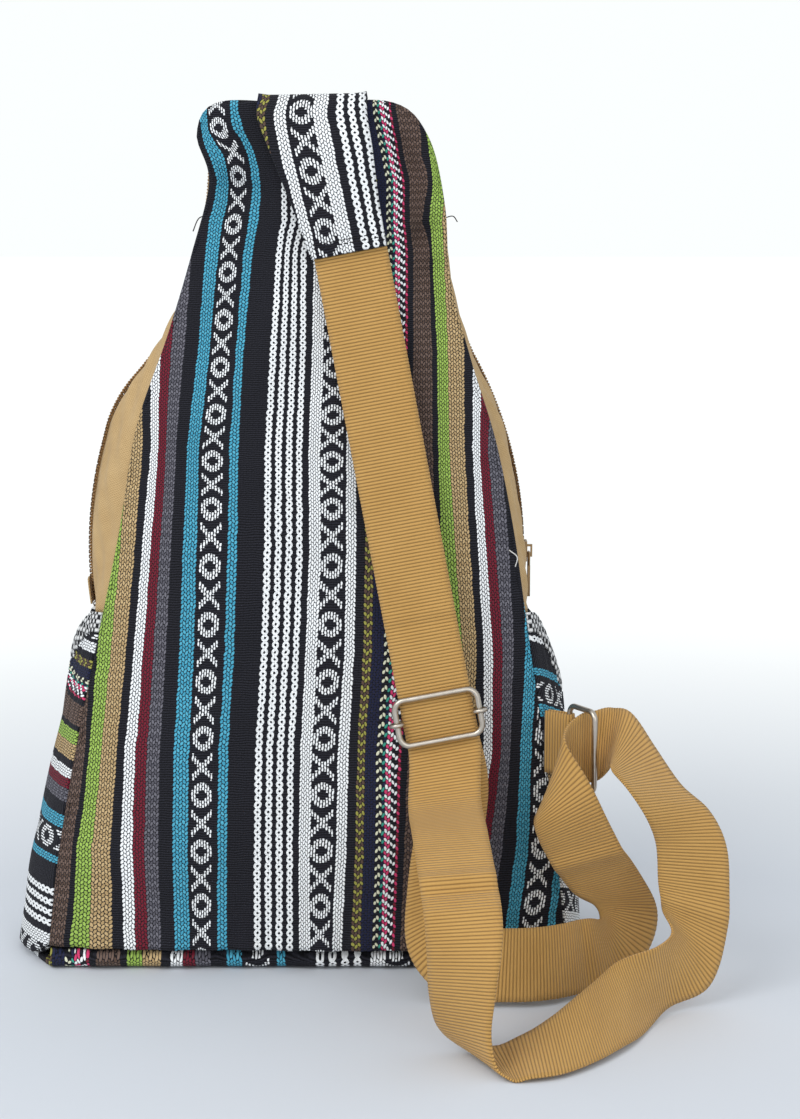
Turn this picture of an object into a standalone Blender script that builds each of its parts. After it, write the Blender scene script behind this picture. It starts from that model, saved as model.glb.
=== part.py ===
"""Striped cotton crossbody backpack with one webbing strap.

The bag stands on its bottom panel, its back panel faces -Y and +Z is up. It is
built from its back seam forward, with the seam in the plane Y = 0, and is then
moved back so that the origin lies under the middle of its bottom.
All lengths are in metres.
"""

import math

import bmesh
import bpy
import numpy as np
from mathutils import Matrix, Vector

# Cloth and gaps
CLOTH = 0.0018
PADDING = 0.0040
SEAM_GAP = 0.0003
BOTTOM_CLOTH = 0.0022
BOTTOM_LIP_DROP = 0.0012
ZIP_FOOT_GAP = 0.0020
TAPE_EDGE_GAP = 0.0014

# Bag outline
ORIGIN_DEPTH = 0.050
BAG_HEIGHT = 0.464
SEAM_FOOT = 0.012
BACK_BULGE = 0.012
FRONT_BULGE = 0.020
PANEL_ROWS = 22
PANEL_COLUMNS = 11
PANEL_TOP_SHARE = 0.955
PADDING_INSET = 0.017
PADDING_START = 12
PADDING_ROWS = 18
PADDING_COLUMNS = 9
ARCH_STEPS = 12
TOP_DIP = 0.0040
FOOT_DEPTH = 0.108
TOP_DEPTH = 0.076
CENTRE_X = 0.0035
# Half outlines of the seams: share of the bag's height, distance from the middle plane
BACK_SEAM_LEFT = ((0.000, 0.1395), (0.106, 0.1335), (0.239, 0.1225), (0.372, 0.1095), (0.504, 0.0965),
                  (0.625, 0.0865), (0.730, 0.0695), (0.825, 0.0575), (0.907, 0.0495), (0.960, 0.0545),
                  (0.993, 0.0435))
BACK_SEAM_RIGHT = ((0.000, 0.1395), (0.106, 0.1345), (0.250, 0.1265), (0.383, 0.1175), (0.504, 0.1065),
                   (0.611, 0.0945), (0.703, 0.0835), (0.796, 0.0755), (0.881, 0.0735), (0.956, 0.0655),
                   (0.993, 0.0465))
FRONT_SEAM_LEFT = ((0.000, 0.1360), (0.106, 0.1320), (0.239, 0.1220), (0.372, 0.1110), (0.504, 0.0990),
                   (0.625, 0.0850), (0.720, 0.0700), (0.817, 0.0590), (0.900, 0.0530), (0.956, 0.0500),
                   (0.990, 0.0400))
FRONT_SEAM_RIGHT = ((0.000, 0.1360), (0.106, 0.1320), (0.239, 0.1220), (0.372, 0.1110), (0.504, 0.0990),
                    (0.625, 0.0880), (0.720, 0.0755), (0.817, 0.0670), (0.900, 0.0620), (0.956, 0.0560),
                    (0.990, 0.0420))
SIDE_BULGE_LEFT = ((0.000, 0.1560), (0.090, 0.1470), (0.215, 0.1315), (0.320, 0.1200))
SIDE_BULGE_RIGHT = ((0.000, 0.1445), (0.090, 0.1405), (0.215, 0.1330), (0.320, 0.1235))

# Main zip: it lies in one plane and both its sides are arcs of a circle
ZIP_Y = 0.042
ZIP_RADIUS = 0.217
ZIP_CENTRE_OFFSET = 0.1010
ZIP_CENTRE_Z = 0.224
ZIP_FOOT_Z = 0.195
ZIP_ARC_TOP_Z = 0.330
ZIP_CROWN_LEFT = ((0.761, 0.0710), (0.817, 0.0610), (0.883, 0.0550), (0.942, 0.0510), (0.975, 0.0380))
ZIP_CROWN_RIGHT = ((0.761, 0.0775), (0.817, 0.0680), (0.883, 0.0635), (0.942, 0.0565), (0.975, 0.0400))
ZIP_TOP_SHARE = 0.980
TAPE_WIDTH = 0.011
TAPE_THICK = 0.0010
BAND_SWELL = 0.0025
COIL_WIDTH = 0.0024
COIL_HEIGHT = 0.0020
ZIP_STEPS = 56
ZIP_END_HEIGHT = 0.014
ZIP_END_HALF_WIDTH = 0.007
ZIP_END_CLOTH = 0.0010
SLIDER_Z = 0.223
SLIDER_LENGTH = 0.011
SLIDER_WIDTH = 0.0085
SLIDER_WALL = 0.0010
SLIDER_CLEARANCE = 0.0005
EYE_HEIGHT = 0.0034
EYE_HALF_WIDTH = 0.0010
EYE_HALF_LENGTH = 0.0034
EYE_SINK = 0.0004
EYE_FLOOR = 0.0007
EYE_ROOF = 0.0010
EYE_WINDOW_HALF = 0.0023
PULL_PIN = 0.0007
PULL_LENGTH = 0.024
PULL_WIDTH = 0.0062
PULL_THICK = 0.0014
PULL_CHEEK = 0.0018
PULL_CHEEK_SWELL = 0.0003
PULL_WIRE_DROP = 0.0074
PULL_TONGUE_TOP = 0.0070
PULL_PIN_LOW = 0.0010

# Side pockets
POCKET_FOOT_Z = 0.0040
POCKET_TOP_Z = 0.196
POCKET_CLEARANCE = 0.0005
POCKET_OPEN_FOOT = 0.0050
POCKET_OPEN_TOP_LEFT = 0.0085
POCKET_OPEN_TOP_RIGHT = 0.0120
MOUTH_DROP_LEFT = 0.026
MOUTH_DROP_RIGHT = 0.044
POCKET_CURVE = 0.7
SIDE_ROWS = 12
GUSSET_COLUMNS = 9
POCKET_COLUMNS = 11
HEM_HEIGHT = 0.010
HEM_THICK = 0.0026

# Strap and its hardware
STRAP_WIDTH = 0.038
STRAP_THICK = 0.0012
STRAP_START = Vector((0.0280, -0.0120, 0.3900))
STRAP_BUCKLE = Vector((0.0740, -0.0300, 0.1470))
STRAP_BEND = 0.018
STRAP_STEPS = 4
RIBBON_COLUMNS = 4
BASE_TOP_WIDTH = 0.056
BASE_FOOT_WIDTH = 0.0392
BASE_THICK = 0.0030
BASE_OVERLAP = 0.0040
BASE_TOP_X = 0.0095
BASE_TOP_Z = 0.4652
WIRE = 0.0032
BAR_WIRE = 0.0024
BUCKLE_HEIGHT = 0.0240
BUCKLE_CORNER = 0.0055
BUCKLE_SIDE_ROOM = 0.0012
RING_WIRE = 0.0030
RING_DEPTH = 0.0220
RING_CORNER = 0.0045
RING_PIVOT = Vector((0.1440, -0.0100, 0.1270))
RING_TURN = math.radians(-58.0)
TAB_REACH = 0.0145
TAB_TURN = math.radians(-37.0)
TAB_TAIL_SHARE = 0.75
TAB_END_ROOM = 0.0006
LOOP_TAIL = 0.030
LOOP_FRONT_TAIL = 0.012
BAR_END_ROOM = 0.0002
HOOK_START = 160.0
HOOK_END = -75.0

# Free webbing from the buckle to the floor, round the loop, through the ring and
# back up behind the buckle: the two edges of the strap, station by station
FREE_STRAP = (
    ((0.058, -0.048, 0.104), (0.096, -0.048, 0.109)),
    ((0.060, -0.082, 0.098), (0.098, -0.082, 0.101)),
    ((0.063, -0.112, 0.085), (0.101, -0.112, 0.088)),
    ((0.066, -0.130, 0.070), (0.103, -0.133, 0.074)),
    ((0.067, -0.133, 0.054), (0.102, -0.146, 0.059)),
    ((0.068, -0.129, 0.034), (0.099, -0.150, 0.039)),
    ((0.072, -0.123, 0.015), (0.097, -0.151, 0.020)),
    ((0.083, -0.120, 0.004), (0.100, -0.154, 0.005)),
    ((0.099, -0.121, 0.004), (0.107, -0.158, 0.002)),
    ((0.115, -0.120, 0.009), (0.118, -0.158, 0.002)),
    ((0.129, -0.117, 0.017), (0.133, -0.152, 0.002)),
    ((0.143, -0.106, 0.025), (0.151, -0.136, 0.002)),
    ((0.156, -0.092, 0.030), (0.167, -0.115, 0.002)),
    ((0.169, -0.086, 0.035), (0.180, -0.088, 0.002)),
    ((0.185, -0.078, 0.040), (0.193, -0.068, 0.003)),
    ((0.192, -0.064, 0.044), (0.215, -0.058, 0.008)),
    ((0.188, -0.056, 0.052), (0.224, -0.053, 0.034)),
    ((0.187, -0.052, 0.066), (0.225, -0.050, 0.060)),
    ((0.186, -0.052, 0.085), (0.223, -0.046, 0.082)),
    ((0.180, -0.056, 0.100), (0.215, -0.040, 0.099)),
    ((0.170, -0.056, 0.115), (0.201, -0.032, 0.111)),
    ((0.163, -0.050, 0.122), (0.188, -0.020, 0.129)),
    ((0.163, -0.040, 0.123), (0.176, -0.010, 0.145)),
    ((0.163, -0.029, 0.118), (0.167, -0.003, 0.145)),
    ((0.157, -0.017, 0.109), (0.158, -0.009, 0.145)),
    ((0.1495, -0.0195, 0.108), (0.1495, -0.0185, 0.146)),
    ((0.139, -0.026, 0.103), (0.141, -0.027, 0.141)),
    ((0.127, -0.034, 0.099), (0.140, -0.040, 0.134)),
    ((0.124, -0.040, 0.090), (0.154, -0.048, 0.112)),
    ((0.131, -0.036, 0.073), (0.167, -0.040, 0.085)),
    ((0.145, -0.028, 0.052), (0.181, -0.024, 0.060)),
    ((0.157, -0.024, 0.043), (0.192, -0.012, 0.036)),
    ((0.160, -0.025, 0.038), (0.189, -0.012, 0.015)),
    ((0.160, -0.028, 0.036), (0.174, -0.020, 0.003)),
    ((0.152, -0.034, 0.037), (0.157, -0.038, 0.003)),
    ((0.131, -0.046, 0.039), (0.132, -0.058, 0.003)),
    ((0.110, -0.050, 0.039), (0.108, -0.061, 0.003)),
    ((0.091, -0.048, 0.039), (0.080, -0.058, 0.004)),
    ((0.090, -0.042, 0.046), (0.058, -0.048, 0.026)),
    ((0.095, -0.034, 0.066), (0.058, -0.036, 0.058)),
)
RETURN_END_DROP = 0.009

COLOURS = {
    "weave": ((0.030, 0.028, 0.035), 0.9, 0.0),
    "weave_side": ((0.12, 0.10, 0.09), 0.9, 0.0),
    "canvas": ((0.45, 0.33, 0.18), 0.9, 0.0),
    "foam": ((0.75, 0.74, 0.70), 0.9, 0.0),
    "zip_tape": ((0.36, 0.24, 0.11), 0.8, 0.0),
    "zip_coil": ((0.30, 0.19, 0.08), 0.5, 0.0),
    "zip_metal": ((0.42, 0.30, 0.18), 0.35, 1.0),
    "elastic": ((0.50, 0.50, 0.52), 0.9, 0.0),
    "webbing": ((0.55, 0.32, 0.10), 0.8, 0.0),
    "nickel": ((0.62, 0.58, 0.53), 0.25, 1.0),
}


def clear_scene():
    """Remove every object, so that the model is built in an empty scene."""
    for item in list(bpy.data.objects):
        bpy.data.objects.remove(item, do_unlink=True)


def material(name):
    """Return the named Principled material, making it the first time."""
    found = bpy.data.materials.get(name)
    if found:
        return found
    colour, roughness, metallic = COLOURS[name]
    made = bpy.data.materials.new(name)
    made.use_nodes = True
    shader = made.node_tree.nodes["Principled BSDF"]
    shader.inputs["Base Color"].default_value = (*colour, 1.0)
    shader.inputs["Roughness"].default_value = roughness
    shader.inputs["Metallic"].default_value = metallic
    return made


def add_object(name, data, material_name, collection):
    """Link a new object for a mesh or a curve and give it its material."""
    made = bpy.data.objects.new(name, data)
    data.materials.append(material(material_name))
    collection.objects.link(made)
    return made


def spline(points, steps):
    """Return a fine Catmull-Rom curve through the points, with so many steps a span."""
    knots = [2 * points[0] - points[1], *points, 2 * points[-1] - points[-2]]
    curve = []
    for before, start, end, after in zip(knots, knots[1:], knots[2:], knots[3:]):
        for step in range(steps):
            t = step / steps
            curve.append(0.5 * ((2 * start) + (end - before) * t
                                + (2 * before - 5 * start + 4 * end - after) * t ** 2
                                + (3 * start - before - 3 * end + after) * t ** 3))
    curve.append(points[-1])
    return curve


def resample(points, count):
    """Return count points spread evenly along a polyline."""
    places = np.array([tuple(point) for point in points])
    travelled = np.concatenate([[0.0], np.cumsum(np.linalg.norm(np.diff(places, axis=0), axis=1))])
    wanted = np.linspace(0.0, travelled[-1], count)
    columns = [np.interp(wanted, travelled, places[:, axis]) for axis in range(3)]
    return [Vector(row) for row in np.stack(columns, axis=1)]


def depth_at(z):
    """Return the front seam's Y at a height: the bag is shallower at its top."""
    share = min(max(z / BAG_HEIGHT, 0.0), 1.0)
    return FOOT_DEPTH + (TOP_DEPTH - FOOT_DEPTH) * share


def half_outline(table, side, y_of):
    """Return one side's outline points, from the foot upward."""
    span = BAG_HEIGHT - SEAM_FOOT
    points = []
    for share, reach in table:
        z = SEAM_FOOT + share * span
        points.append(Vector((CENTRE_X + side * reach, y_of(z), z)))
    return points


def seam_arch(left, right, y_of):
    """Return the whole seam line, from the left foot over the top to the right foot."""
    left_side = half_outline(left, -1, y_of)
    right_side = half_outline(right, 1, y_of)
    top = Vector((CENTRE_X, y_of(BAG_HEIGHT), BAG_HEIGHT - TOP_DIP))
    return spline([*left_side, top, *reversed(right_side)], ARCH_STEPS)


def zip_arc(side):
    """Return one side's arc of the zip, from its foot upward."""
    low = math.asin((ZIP_FOOT_Z - ZIP_CENTRE_Z) / ZIP_RADIUS)
    high = math.asin((ZIP_ARC_TOP_Z - ZIP_CENTRE_Z) / ZIP_RADIUS)
    centre_x = CENTRE_X - side * ZIP_CENTRE_OFFSET
    points = []
    for angle in np.linspace(low, high, 60):
        points.append(Vector((centre_x + side * ZIP_RADIUS * math.cos(angle), ZIP_Y,
                              ZIP_CENTRE_Z + ZIP_RADIUS * math.sin(angle))))
    return points


def zip_arch():
    """Return the zip's whole line, from its left foot over the top to its right foot."""
    left = zip_arc(-1)
    right = zip_arc(1)
    crown_left = [Vector((CENTRE_X - reach, ZIP_Y, share * BAG_HEIGHT)) for share, reach in ZIP_CROWN_LEFT]
    crown_right = [Vector((CENTRE_X + reach, ZIP_Y, share * BAG_HEIGHT)) for share, reach in ZIP_CROWN_RIGHT]
    top = Vector((CENTRE_X, ZIP_Y, ZIP_TOP_SHARE * BAG_HEIGHT))
    crown = spline([left[-1], *crown_left, top, *reversed(crown_right), right[-1]], ARCH_STEPS)
    return left + crown[1:-1] + list(reversed(right))


def above(points, z):
    """Return the part of an arch that lies above a height, cut at that height."""
    inside = [index for index, point in enumerate(points) if point.z >= z]
    first, last = inside[0], inside[-1]
    kept = list(points[first:last + 1])
    if first > 0:
        kept.insert(0, cut_at(points[first - 1], points[first], z))
    if last < len(points) - 1:
        kept.append(cut_at(points[last], points[last + 1], z))
    return kept


def cut_at(start, end, z):
    """Return the point at a height on the line between two points."""
    return start.lerp(end, (z - start.z) / (end.z - start.z))


def at_height(points, z):
    """Return the point at a height on a line whose points rise or fall."""
    for start, end in zip(points, points[1:]):
        if min(start.z, end.z) <= z <= max(start.z, end.z) and start.z != end.z:
            return cut_at(start, end, z)
    return points[0] if abs(points[0].z - z) < abs(points[-1].z - z) else points[-1]


def side_outline(arch, side):
    """Return the left or the right half of an arch, from the foot upward."""
    middle = len(arch) // 2
    if side < 0:
        return arch[:middle + 1]
    return list(reversed(arch[middle:]))


def sheet(name, rows, thickness, material_name, collection, outside=None, outward=False):
    """Make a cloth solid from a grid of points, thickened to one side.

    outside is a point or a direction that the bare faces look away from the
    bag's middle by default; outward thickens away from the bag.
    """
    shape = bmesh.new()
    grid = [[shape.verts.new(point) for point in row] for row in rows]
    for row, following in zip(grid, grid[1:]):
        for a, b, c, d in zip(row, row[1:], following[1:], following):
            shape.faces.new((a, b, c, d))
    shape.normal_update()
    middle = Vector((CENTRE_X, FOOT_DEPTH / 2, BAG_HEIGHT / 2))
    facing = 0.0
    for face in shape.faces:
        away = outside if outside else face.calc_center_median() - middle
        facing += face.normal.dot(away) * face.calc_area()
    if facing < 0:
        bmesh.ops.reverse_faces(shape, faces=shape.faces)
    mesh = bpy.data.meshes.new(name)
    shape.to_mesh(mesh)
    shape.free()
    mesh.shade_smooth()
    made = add_object(name, mesh, material_name, collection)
    wall = made.modifiers.new("wall", "SOLIDIFY")
    wall.thickness = thickness
    wall.offset = 1.0 if outward else -1.0
    return made


def tube(name, points, diameter, closed, material_name, collection, resolution=3):
    """Make a bent wire along the points."""
    curve = bpy.data.curves.new(name, "CURVE")
    curve.dimensions = "3D"
    curve.bevel_depth = diameter / 2
    curve.bevel_resolution = resolution
    curve.use_fill_caps = True
    line = curve.splines.new("POLY")
    line.points.add(len(points) - 1)
    for place, point in zip(line.points, points):
        place.co = (*point, 1.0)
    line.use_cyclic_u = closed
    return add_object(name, curve, material_name, collection)


def ribbon(name, stations, thickness, material_name, collection):
    """Make a flat strip from stations of centre, width direction and width.

    Every face is a triangle and both sides are cut along the same diagonals, so
    a twisted strip keeps one thickness and one exact surface.
    """
    shape = bmesh.new()
    centres = [centre for centre, across, width in stations]
    rings = []
    for index, (centre, across, width) in enumerate(stations):
        ahead = centres[min(index + 1, len(centres) - 1)] - centres[max(index - 1, 0)]
        normal = ahead.cross(across).normalized() * thickness / 2
        places = [across * width * (step / RIBBON_COLUMNS - 0.5) for step in range(RIBBON_COLUMNS + 1)]
        low = [shape.verts.new(centre + place - normal) for place in places]
        high = [shape.verts.new(centre + place + normal) for place in places]
        rings.append((low, high))
    for (low, high), (next_low, next_high) in zip(rings, rings[1:]):
        for row, following in ((low, next_low), (high, next_high)):
            for a, b, c, d in zip(row, row[1:], following[1:], following):
                shape.faces.new((a, b, c))
                shape.faces.new((a, c, d))
        for end in (0, -1):
            shape.faces.new((low[end], high[end], next_high[end]))
            shape.faces.new((low[end], next_high[end], next_low[end]))
    for low, high in (rings[0], rings[-1]):
        for a, b, c, d in zip(low, low[1:], high[1:], high):
            shape.faces.new((a, b, c))
            shape.faces.new((a, c, d))
    bmesh.ops.recalc_face_normals(shape, faces=shape.faces)
    mesh = bpy.data.meshes.new(name)
    shape.to_mesh(mesh)
    shape.free()
    return add_object(name, mesh, material_name, collection)


def box_between(name, low, high, matrix, material_name, collection):
    """Make a box between two local corners, placed by a matrix."""
    shape = bmesh.new()
    bmesh.ops.create_cube(shape, size=1.0)
    size = high - low
    bmesh.ops.scale(shape, vec=size, verts=shape.verts)
    bmesh.ops.translate(shape, vec=(low + high) / 2, verts=shape.verts)
    mesh = bpy.data.meshes.new(name)
    shape.to_mesh(mesh)
    shape.free()
    made = add_object(name, mesh, material_name, collection)
    made.matrix_world = matrix
    return made


def panel_rows(left, right, bulge, rows, columns, inset=0.0):
    """Return the grid of a panel between its two side outlines.

    bulge gives how far the cloth stands out in Y at a share of the width and
    of the height.
    """
    left = resample(left, rows)
    right = resample(right, rows)
    grid = []
    for index, (start, end) in enumerate(zip(left, right)):
        height = index / (rows - 1)
        across = (end - start).normalized()
        start = start + across * inset
        end = end - across * inset
        row = []
        for column in range(columns):
            share = column / (columns - 1)
            point = start.lerp(end, share)
            point.y += bulge(share, height)
            row.append(point)
        grid.append(row)
    return grid


def dome(share):
    """Return 0 at a seam and 1 in the middle, rising fast beside the seam."""
    return 1.0 - (2.0 * share - 1.0) ** 4


def build_panels(arches, collection):
    """Build the back panel, its padding and the front panel."""
    back, front = arches["back"], arches["front"]
    back_left, back_right = side_outline(back, -1), side_outline(back, 1)
    front_left, front_right = side_outline(front, -1), side_outline(front, 1)
    cut = int(len(back_left) * PANEL_TOP_SHARE)
    low = PADDING_START

    def back_bulge(share, height):
        swell = 0.35 + 0.65 * math.sin(math.pi * min(1.0, 0.22 + 0.9 * height) ** 1.1)
        return -BACK_BULGE * dome(share) * swell

    def front_bulge(share, height):
        swell = 0.30 + 0.70 * math.sin(math.pi * min(1.0, 0.15 + 0.85 * height))
        return FRONT_BULGE * dome(share) * swell

    rows = panel_rows(back_left[:cut], back_right[:cut], back_bulge, PANEL_ROWS, PANEL_COLUMNS)
    sheet("back_panel", rows, CLOTH, "weave", collection)
    inner = panel_rows(back_left[low:cut - low], back_right[low:cut - low], back_bulge,
                       PADDING_ROWS, PADDING_COLUMNS, inset=PADDING_INSET)
    for row in inner:
        for point in row:
            point.y += CLOTH + SEAM_GAP
    sheet("back_padding", inner, PADDING, "foam", collection)
    rows = panel_rows(front_left[:cut], front_right[:cut], front_bulge, PANEL_ROWS, PANEL_COLUMNS)
    sheet("front_panel", rows, CLOTH, "weave", collection)


def strip_rows(first, second, swell, columns, first_gap, second_gap):
    """Return the grid of a band between two lines, kept a gap away from each."""
    grid = []
    for start, end in zip(first, second):
        away = (start + end) / 2 - Vector((CENTRE_X, start.y, BAG_HEIGHT * 0.45))
        away.y = 0.0
        away.normalize()
        length = (end - start).length
        low, high = first_gap / length, 1.0 - second_gap / length
        row = []
        for column in range(columns):
            share = low + (high - low) * column / (columns - 1)
            row.append(start.lerp(end, share) + away * swell * math.sin(math.pi * share))
        grid.append(row)
    return grid


def moved(points, offset):
    """Return the points moved by one offset."""
    return [point + offset for point in points]


def build_zip(arches, collection):
    """Build the zip's bands, tapes and coils along its arch."""
    count = ZIP_STEPS
    low_z = ZIP_FOOT_Z
    line = resample(above(arches["zip"], low_z), count)
    back = resample(above(arches["back_inner"], low_z), count)
    front = resample(above(arches["front_inner"], low_z), count)
    reach = COIL_WIDTH + SEAM_GAP / 2
    tape_edge = reach + TAPE_WIDTH

    def across(start, end, name, thickness, slot, outward=False):
        rows = [[point + Vector((0.0, start, 0.0)), point + Vector((0.0, end, 0.0))] for point in line]
        return sheet(name, rows, thickness, slot, collection, outward=outward)

    across(-tape_edge, -SEAM_GAP / 2, "back_zip_tape", TAPE_THICK, "zip_tape")
    across(SEAM_GAP / 2, tape_edge, "front_zip_tape", TAPE_THICK, "zip_tape")
    build_coil("back_zip_coil", line, -1, collection)
    build_coil("front_zip_coil", line, 1, collection)
    back_edge = moved(line, Vector((0.0, -tape_edge, 0.0)))
    front_edge = moved(line, Vector((0.0, tape_edge, 0.0)))
    rows = strip_rows(back, back_edge, BAND_SWELL, 4, SEAM_GAP, TAPE_EDGE_GAP)
    sheet("back_zip_band", rows, CLOTH, "canvas", collection)
    rows = strip_rows(front_edge, front, BAND_SWELL, 4, TAPE_EDGE_GAP, SEAM_GAP)
    sheet("front_zip_band", rows, CLOTH, "canvas", collection)


def line_normals(line):
    """Return the outward normals of the zip's line, in its own plane."""
    normals = []
    for index in range(len(line)):
        ahead = line[min(index + 1, len(line) - 1)] - line[max(index - 1, 0)]
        normals.append(Vector((-ahead.z, 0.0, ahead.x)).normalized())
    return normals


def build_coil(name, line, side, collection):
    """Build one of the zip's two coils as a strip on its tape."""
    stations = []
    lift = SEAM_GAP + COIL_HEIGHT / 2
    shift = side * (SEAM_GAP / 2 + COIL_WIDTH / 2)
    for point, normal in zip(line, line_normals(line)):
        centre = point + normal * lift + Vector((0.0, shift, 0.0))
        stations.append((centre, Vector((0.0, 1.0, 0.0)), COIL_WIDTH))
    ribbon(name, stations, COIL_HEIGHT, "zip_coil", collection)


def slider_frame():
    """Return the slider's matrix: X outward, Y across the zip, Z along it."""
    angle = math.asin((SLIDER_Z - ZIP_CENTRE_Z) / ZIP_RADIUS)
    outward = Vector((math.cos(angle), 0.0, math.sin(angle)))
    along = Vector((-math.sin(angle), 0.0, math.cos(angle)))
    place = Vector((CENTRE_X - ZIP_CENTRE_OFFSET, ZIP_Y, ZIP_CENTRE_Z)) + outward * ZIP_RADIUS
    matrix = Matrix((outward, Vector((0.0, 1.0, 0.0)), along)).transposed().to_4x4()
    matrix.translation = place
    return matrix


def boolean(target, cutter, operation):
    """Join or cut a solid with another and keep the modifier live."""
    change = target.modifiers.new(operation.lower(), "BOOLEAN")
    change.operation = operation
    change.object = cutter
    change.solver = "EXACT"


def hide_cutter(cutter, cutters):
    """Move a cutter to the cutters' collection and keep it out of the model."""
    for owner in list(cutter.users_collection):
        owner.objects.unlink(cutter)
    cutters.objects.link(cutter)
    cutter.hide_render = True
    cutter.display_type = "WIRE"


def build_slider(collection, cutters):
    """Build the zip's slider, which straddles the coil, and its hanging pull."""
    frame = slider_frame()
    floor_level = SEAM_GAP + SLIDER_CLEARANCE
    roof = SEAM_GAP + COIL_HEIGHT + SLIDER_CLEARANCE
    half_width = SLIDER_WIDTH / 2
    channel = COIL_WIDTH + SEAM_GAP / 2 + SLIDER_CLEARANCE
    half_length = SLIDER_LENGTH / 2
    body = box_between("zip_slider", Vector((floor_level, -half_width, -half_length)),
                       Vector((roof + SLIDER_WALL, half_width, half_length)), frame,
                       "zip_metal", collection)
    groove = box_between("slider_channel", Vector((-SLIDER_WIDTH, -channel, -SLIDER_LENGTH)),
                         Vector((roof, channel, SLIDER_LENGTH)), frame, "zip_metal", collection)
    eye_low = roof + SLIDER_WALL - EYE_SINK
    eye_top = eye_low + EYE_HEIGHT
    eye = box_between("slider_eye", Vector((eye_low, -EYE_HALF_WIDTH, -EYE_HALF_LENGTH)),
                      Vector((eye_top, EYE_HALF_WIDTH, EYE_HALF_LENGTH)), frame, "zip_metal", collection)
    window = box_between("slider_window", Vector((eye_low + EYE_FLOOR, -SLIDER_WIDTH, -EYE_WINDOW_HALF)),
                         Vector((eye_top - EYE_ROOF, SLIDER_WIDTH, EYE_WINDOW_HALF)), frame,
                         "zip_metal", collection)
    for cutter in (groove, eye, window):
        hide_cutter(cutter, cutters)
    boolean(body, groove, "DIFFERENCE")
    boolean(body, eye, "UNION")
    boolean(body, window, "DIFFERENCE")

    pin_x = (eye_low + EYE_FLOOR + eye_top - EYE_ROOF) / 2
    pivot = frame @ Vector((pin_x, 0.0, -PULL_PIN_LOW))
    build_pull(pivot, collection, cutters)


def build_pull(pivot, collection, cutters):
    """Build the pull: a pin through the slider's eye, two cheeks and a flat tongue."""
    half = PULL_WIDTH / 2
    cheek = PULL_CHEEK
    swell = PULL_CHEEK + PULL_CHEEK_SWELL
    drop = -PULL_WIRE_DROP
    loop = (Vector((0.0, -cheek, 0.0)), Vector((0.0, cheek, 0.0)), Vector((0.0, swell, drop / 2)),
            Vector((0.0, cheek, drop)), Vector((0.0, -cheek, drop)), Vector((0.0, -swell, drop / 2)))
    wire = tube("zip_pull_wire", loop, 2 * PULL_PIN, True, "zip_metal", collection, resolution=2)
    bpy.context.view_layer.update()
    mesh = bpy.data.meshes.new_from_object(wire.evaluated_get(bpy.context.evaluated_depsgraph_get()))
    shape = bmesh.new()
    shape.from_mesh(mesh)
    bmesh.ops.remove_doubles(shape, verts=shape.verts, dist=0.00001)
    shape.to_mesh(mesh)
    shape.free()
    bpy.data.objects.remove(wire, do_unlink=True)
    pull = add_object("zip_pull", mesh, "zip_metal", collection)
    pull.location = pivot
    bpy.context.view_layer.update()
    tongue = box_between("pull_tongue", Vector((-PULL_THICK / 2, -half, -PULL_LENGTH)),
                         Vector((PULL_THICK / 2, half, -PULL_TONGUE_TOP)),
                         Matrix.Translation(pivot), "zip_metal", collection)
    hide_cutter(tongue, cutters)
    boolean(pull, tongue, "UNION")


def side_lines(arches, side):
    """Return the back seam, the line of greatest width and the front seam of one side."""
    back = side_outline(arches["back_inner"], side)
    front = side_outline(arches["front_inner"], side)
    return back, side_line(side), front


def side_place(lines, share, z):
    """Return the side's point at a share of the way round and at a height."""
    start, middle, end = (at_height(line, z) for line in lines)
    point = side_point(start, middle, end, share)
    point.z = z
    return point


def stood_off(lines, side, share, z, distance):
    """Return the side's point pushed outward by a distance."""
    near, far = max(share - 0.05, 0.0), min(share + 0.05, 1.0)
    ahead = side_place(lines, far, z) - side_place(lines, near, z)
    normal = Vector((ahead.y, -ahead.x, 0.0)).normalized() * side
    return side_place(lines, share, z) + normal * distance


def side_rows(lines, side, low, high, rows, columns, distance):
    """Return a grid on the side between two heights that change on the way round.

    distance gives how far the cloth stands off the side at a share and a height.
    """
    grid = []
    for step in np.linspace(0.0, 1.0, rows):
        row = []
        for share in np.linspace(0.0, 1.0, columns):
            z = low(share) + (high(share) - low(share)) * step
            row.append(stood_off(lines, side, share, z, distance(share, z)))
        grid.append(row)
    return grid


def foot_height(share, lowest):
    """Return a side's foot: on the bottom panel, but above its turned-up lips at the seams."""
    at_seam = share in (0.0, 1.0)
    return SEAM_FOOT + SEAM_GAP if at_seam else lowest


def side_line(side):
    """Return the line of the side's greatest width, from the foot up to the zip."""
    table = SIDE_BULGE_LEFT if side < 0 else SIDE_BULGE_RIGHT
    points = half_outline(table, side, lambda z: ZIP_Y)
    points[0].z = 0.0
    points.append(zip_arc(side)[0])
    return spline(points, 10)


def side_point(start, middle, end, share):
    """Return a point of the curve through a back, a middle and a front point."""
    reach = (middle.y - start.y) / (end.y - start.y)
    flat = start.lerp(end, share)
    base = start.x + (end.x - start.x) * reach
    if share < reach:
        rise = math.sin(math.pi / 2 * share / reach)
    else:
        rise = math.sin(math.pi / 2 * (1.0 - share) / (1.0 - reach))
    flat.x += (middle.x - base) * rise
    return flat


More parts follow.
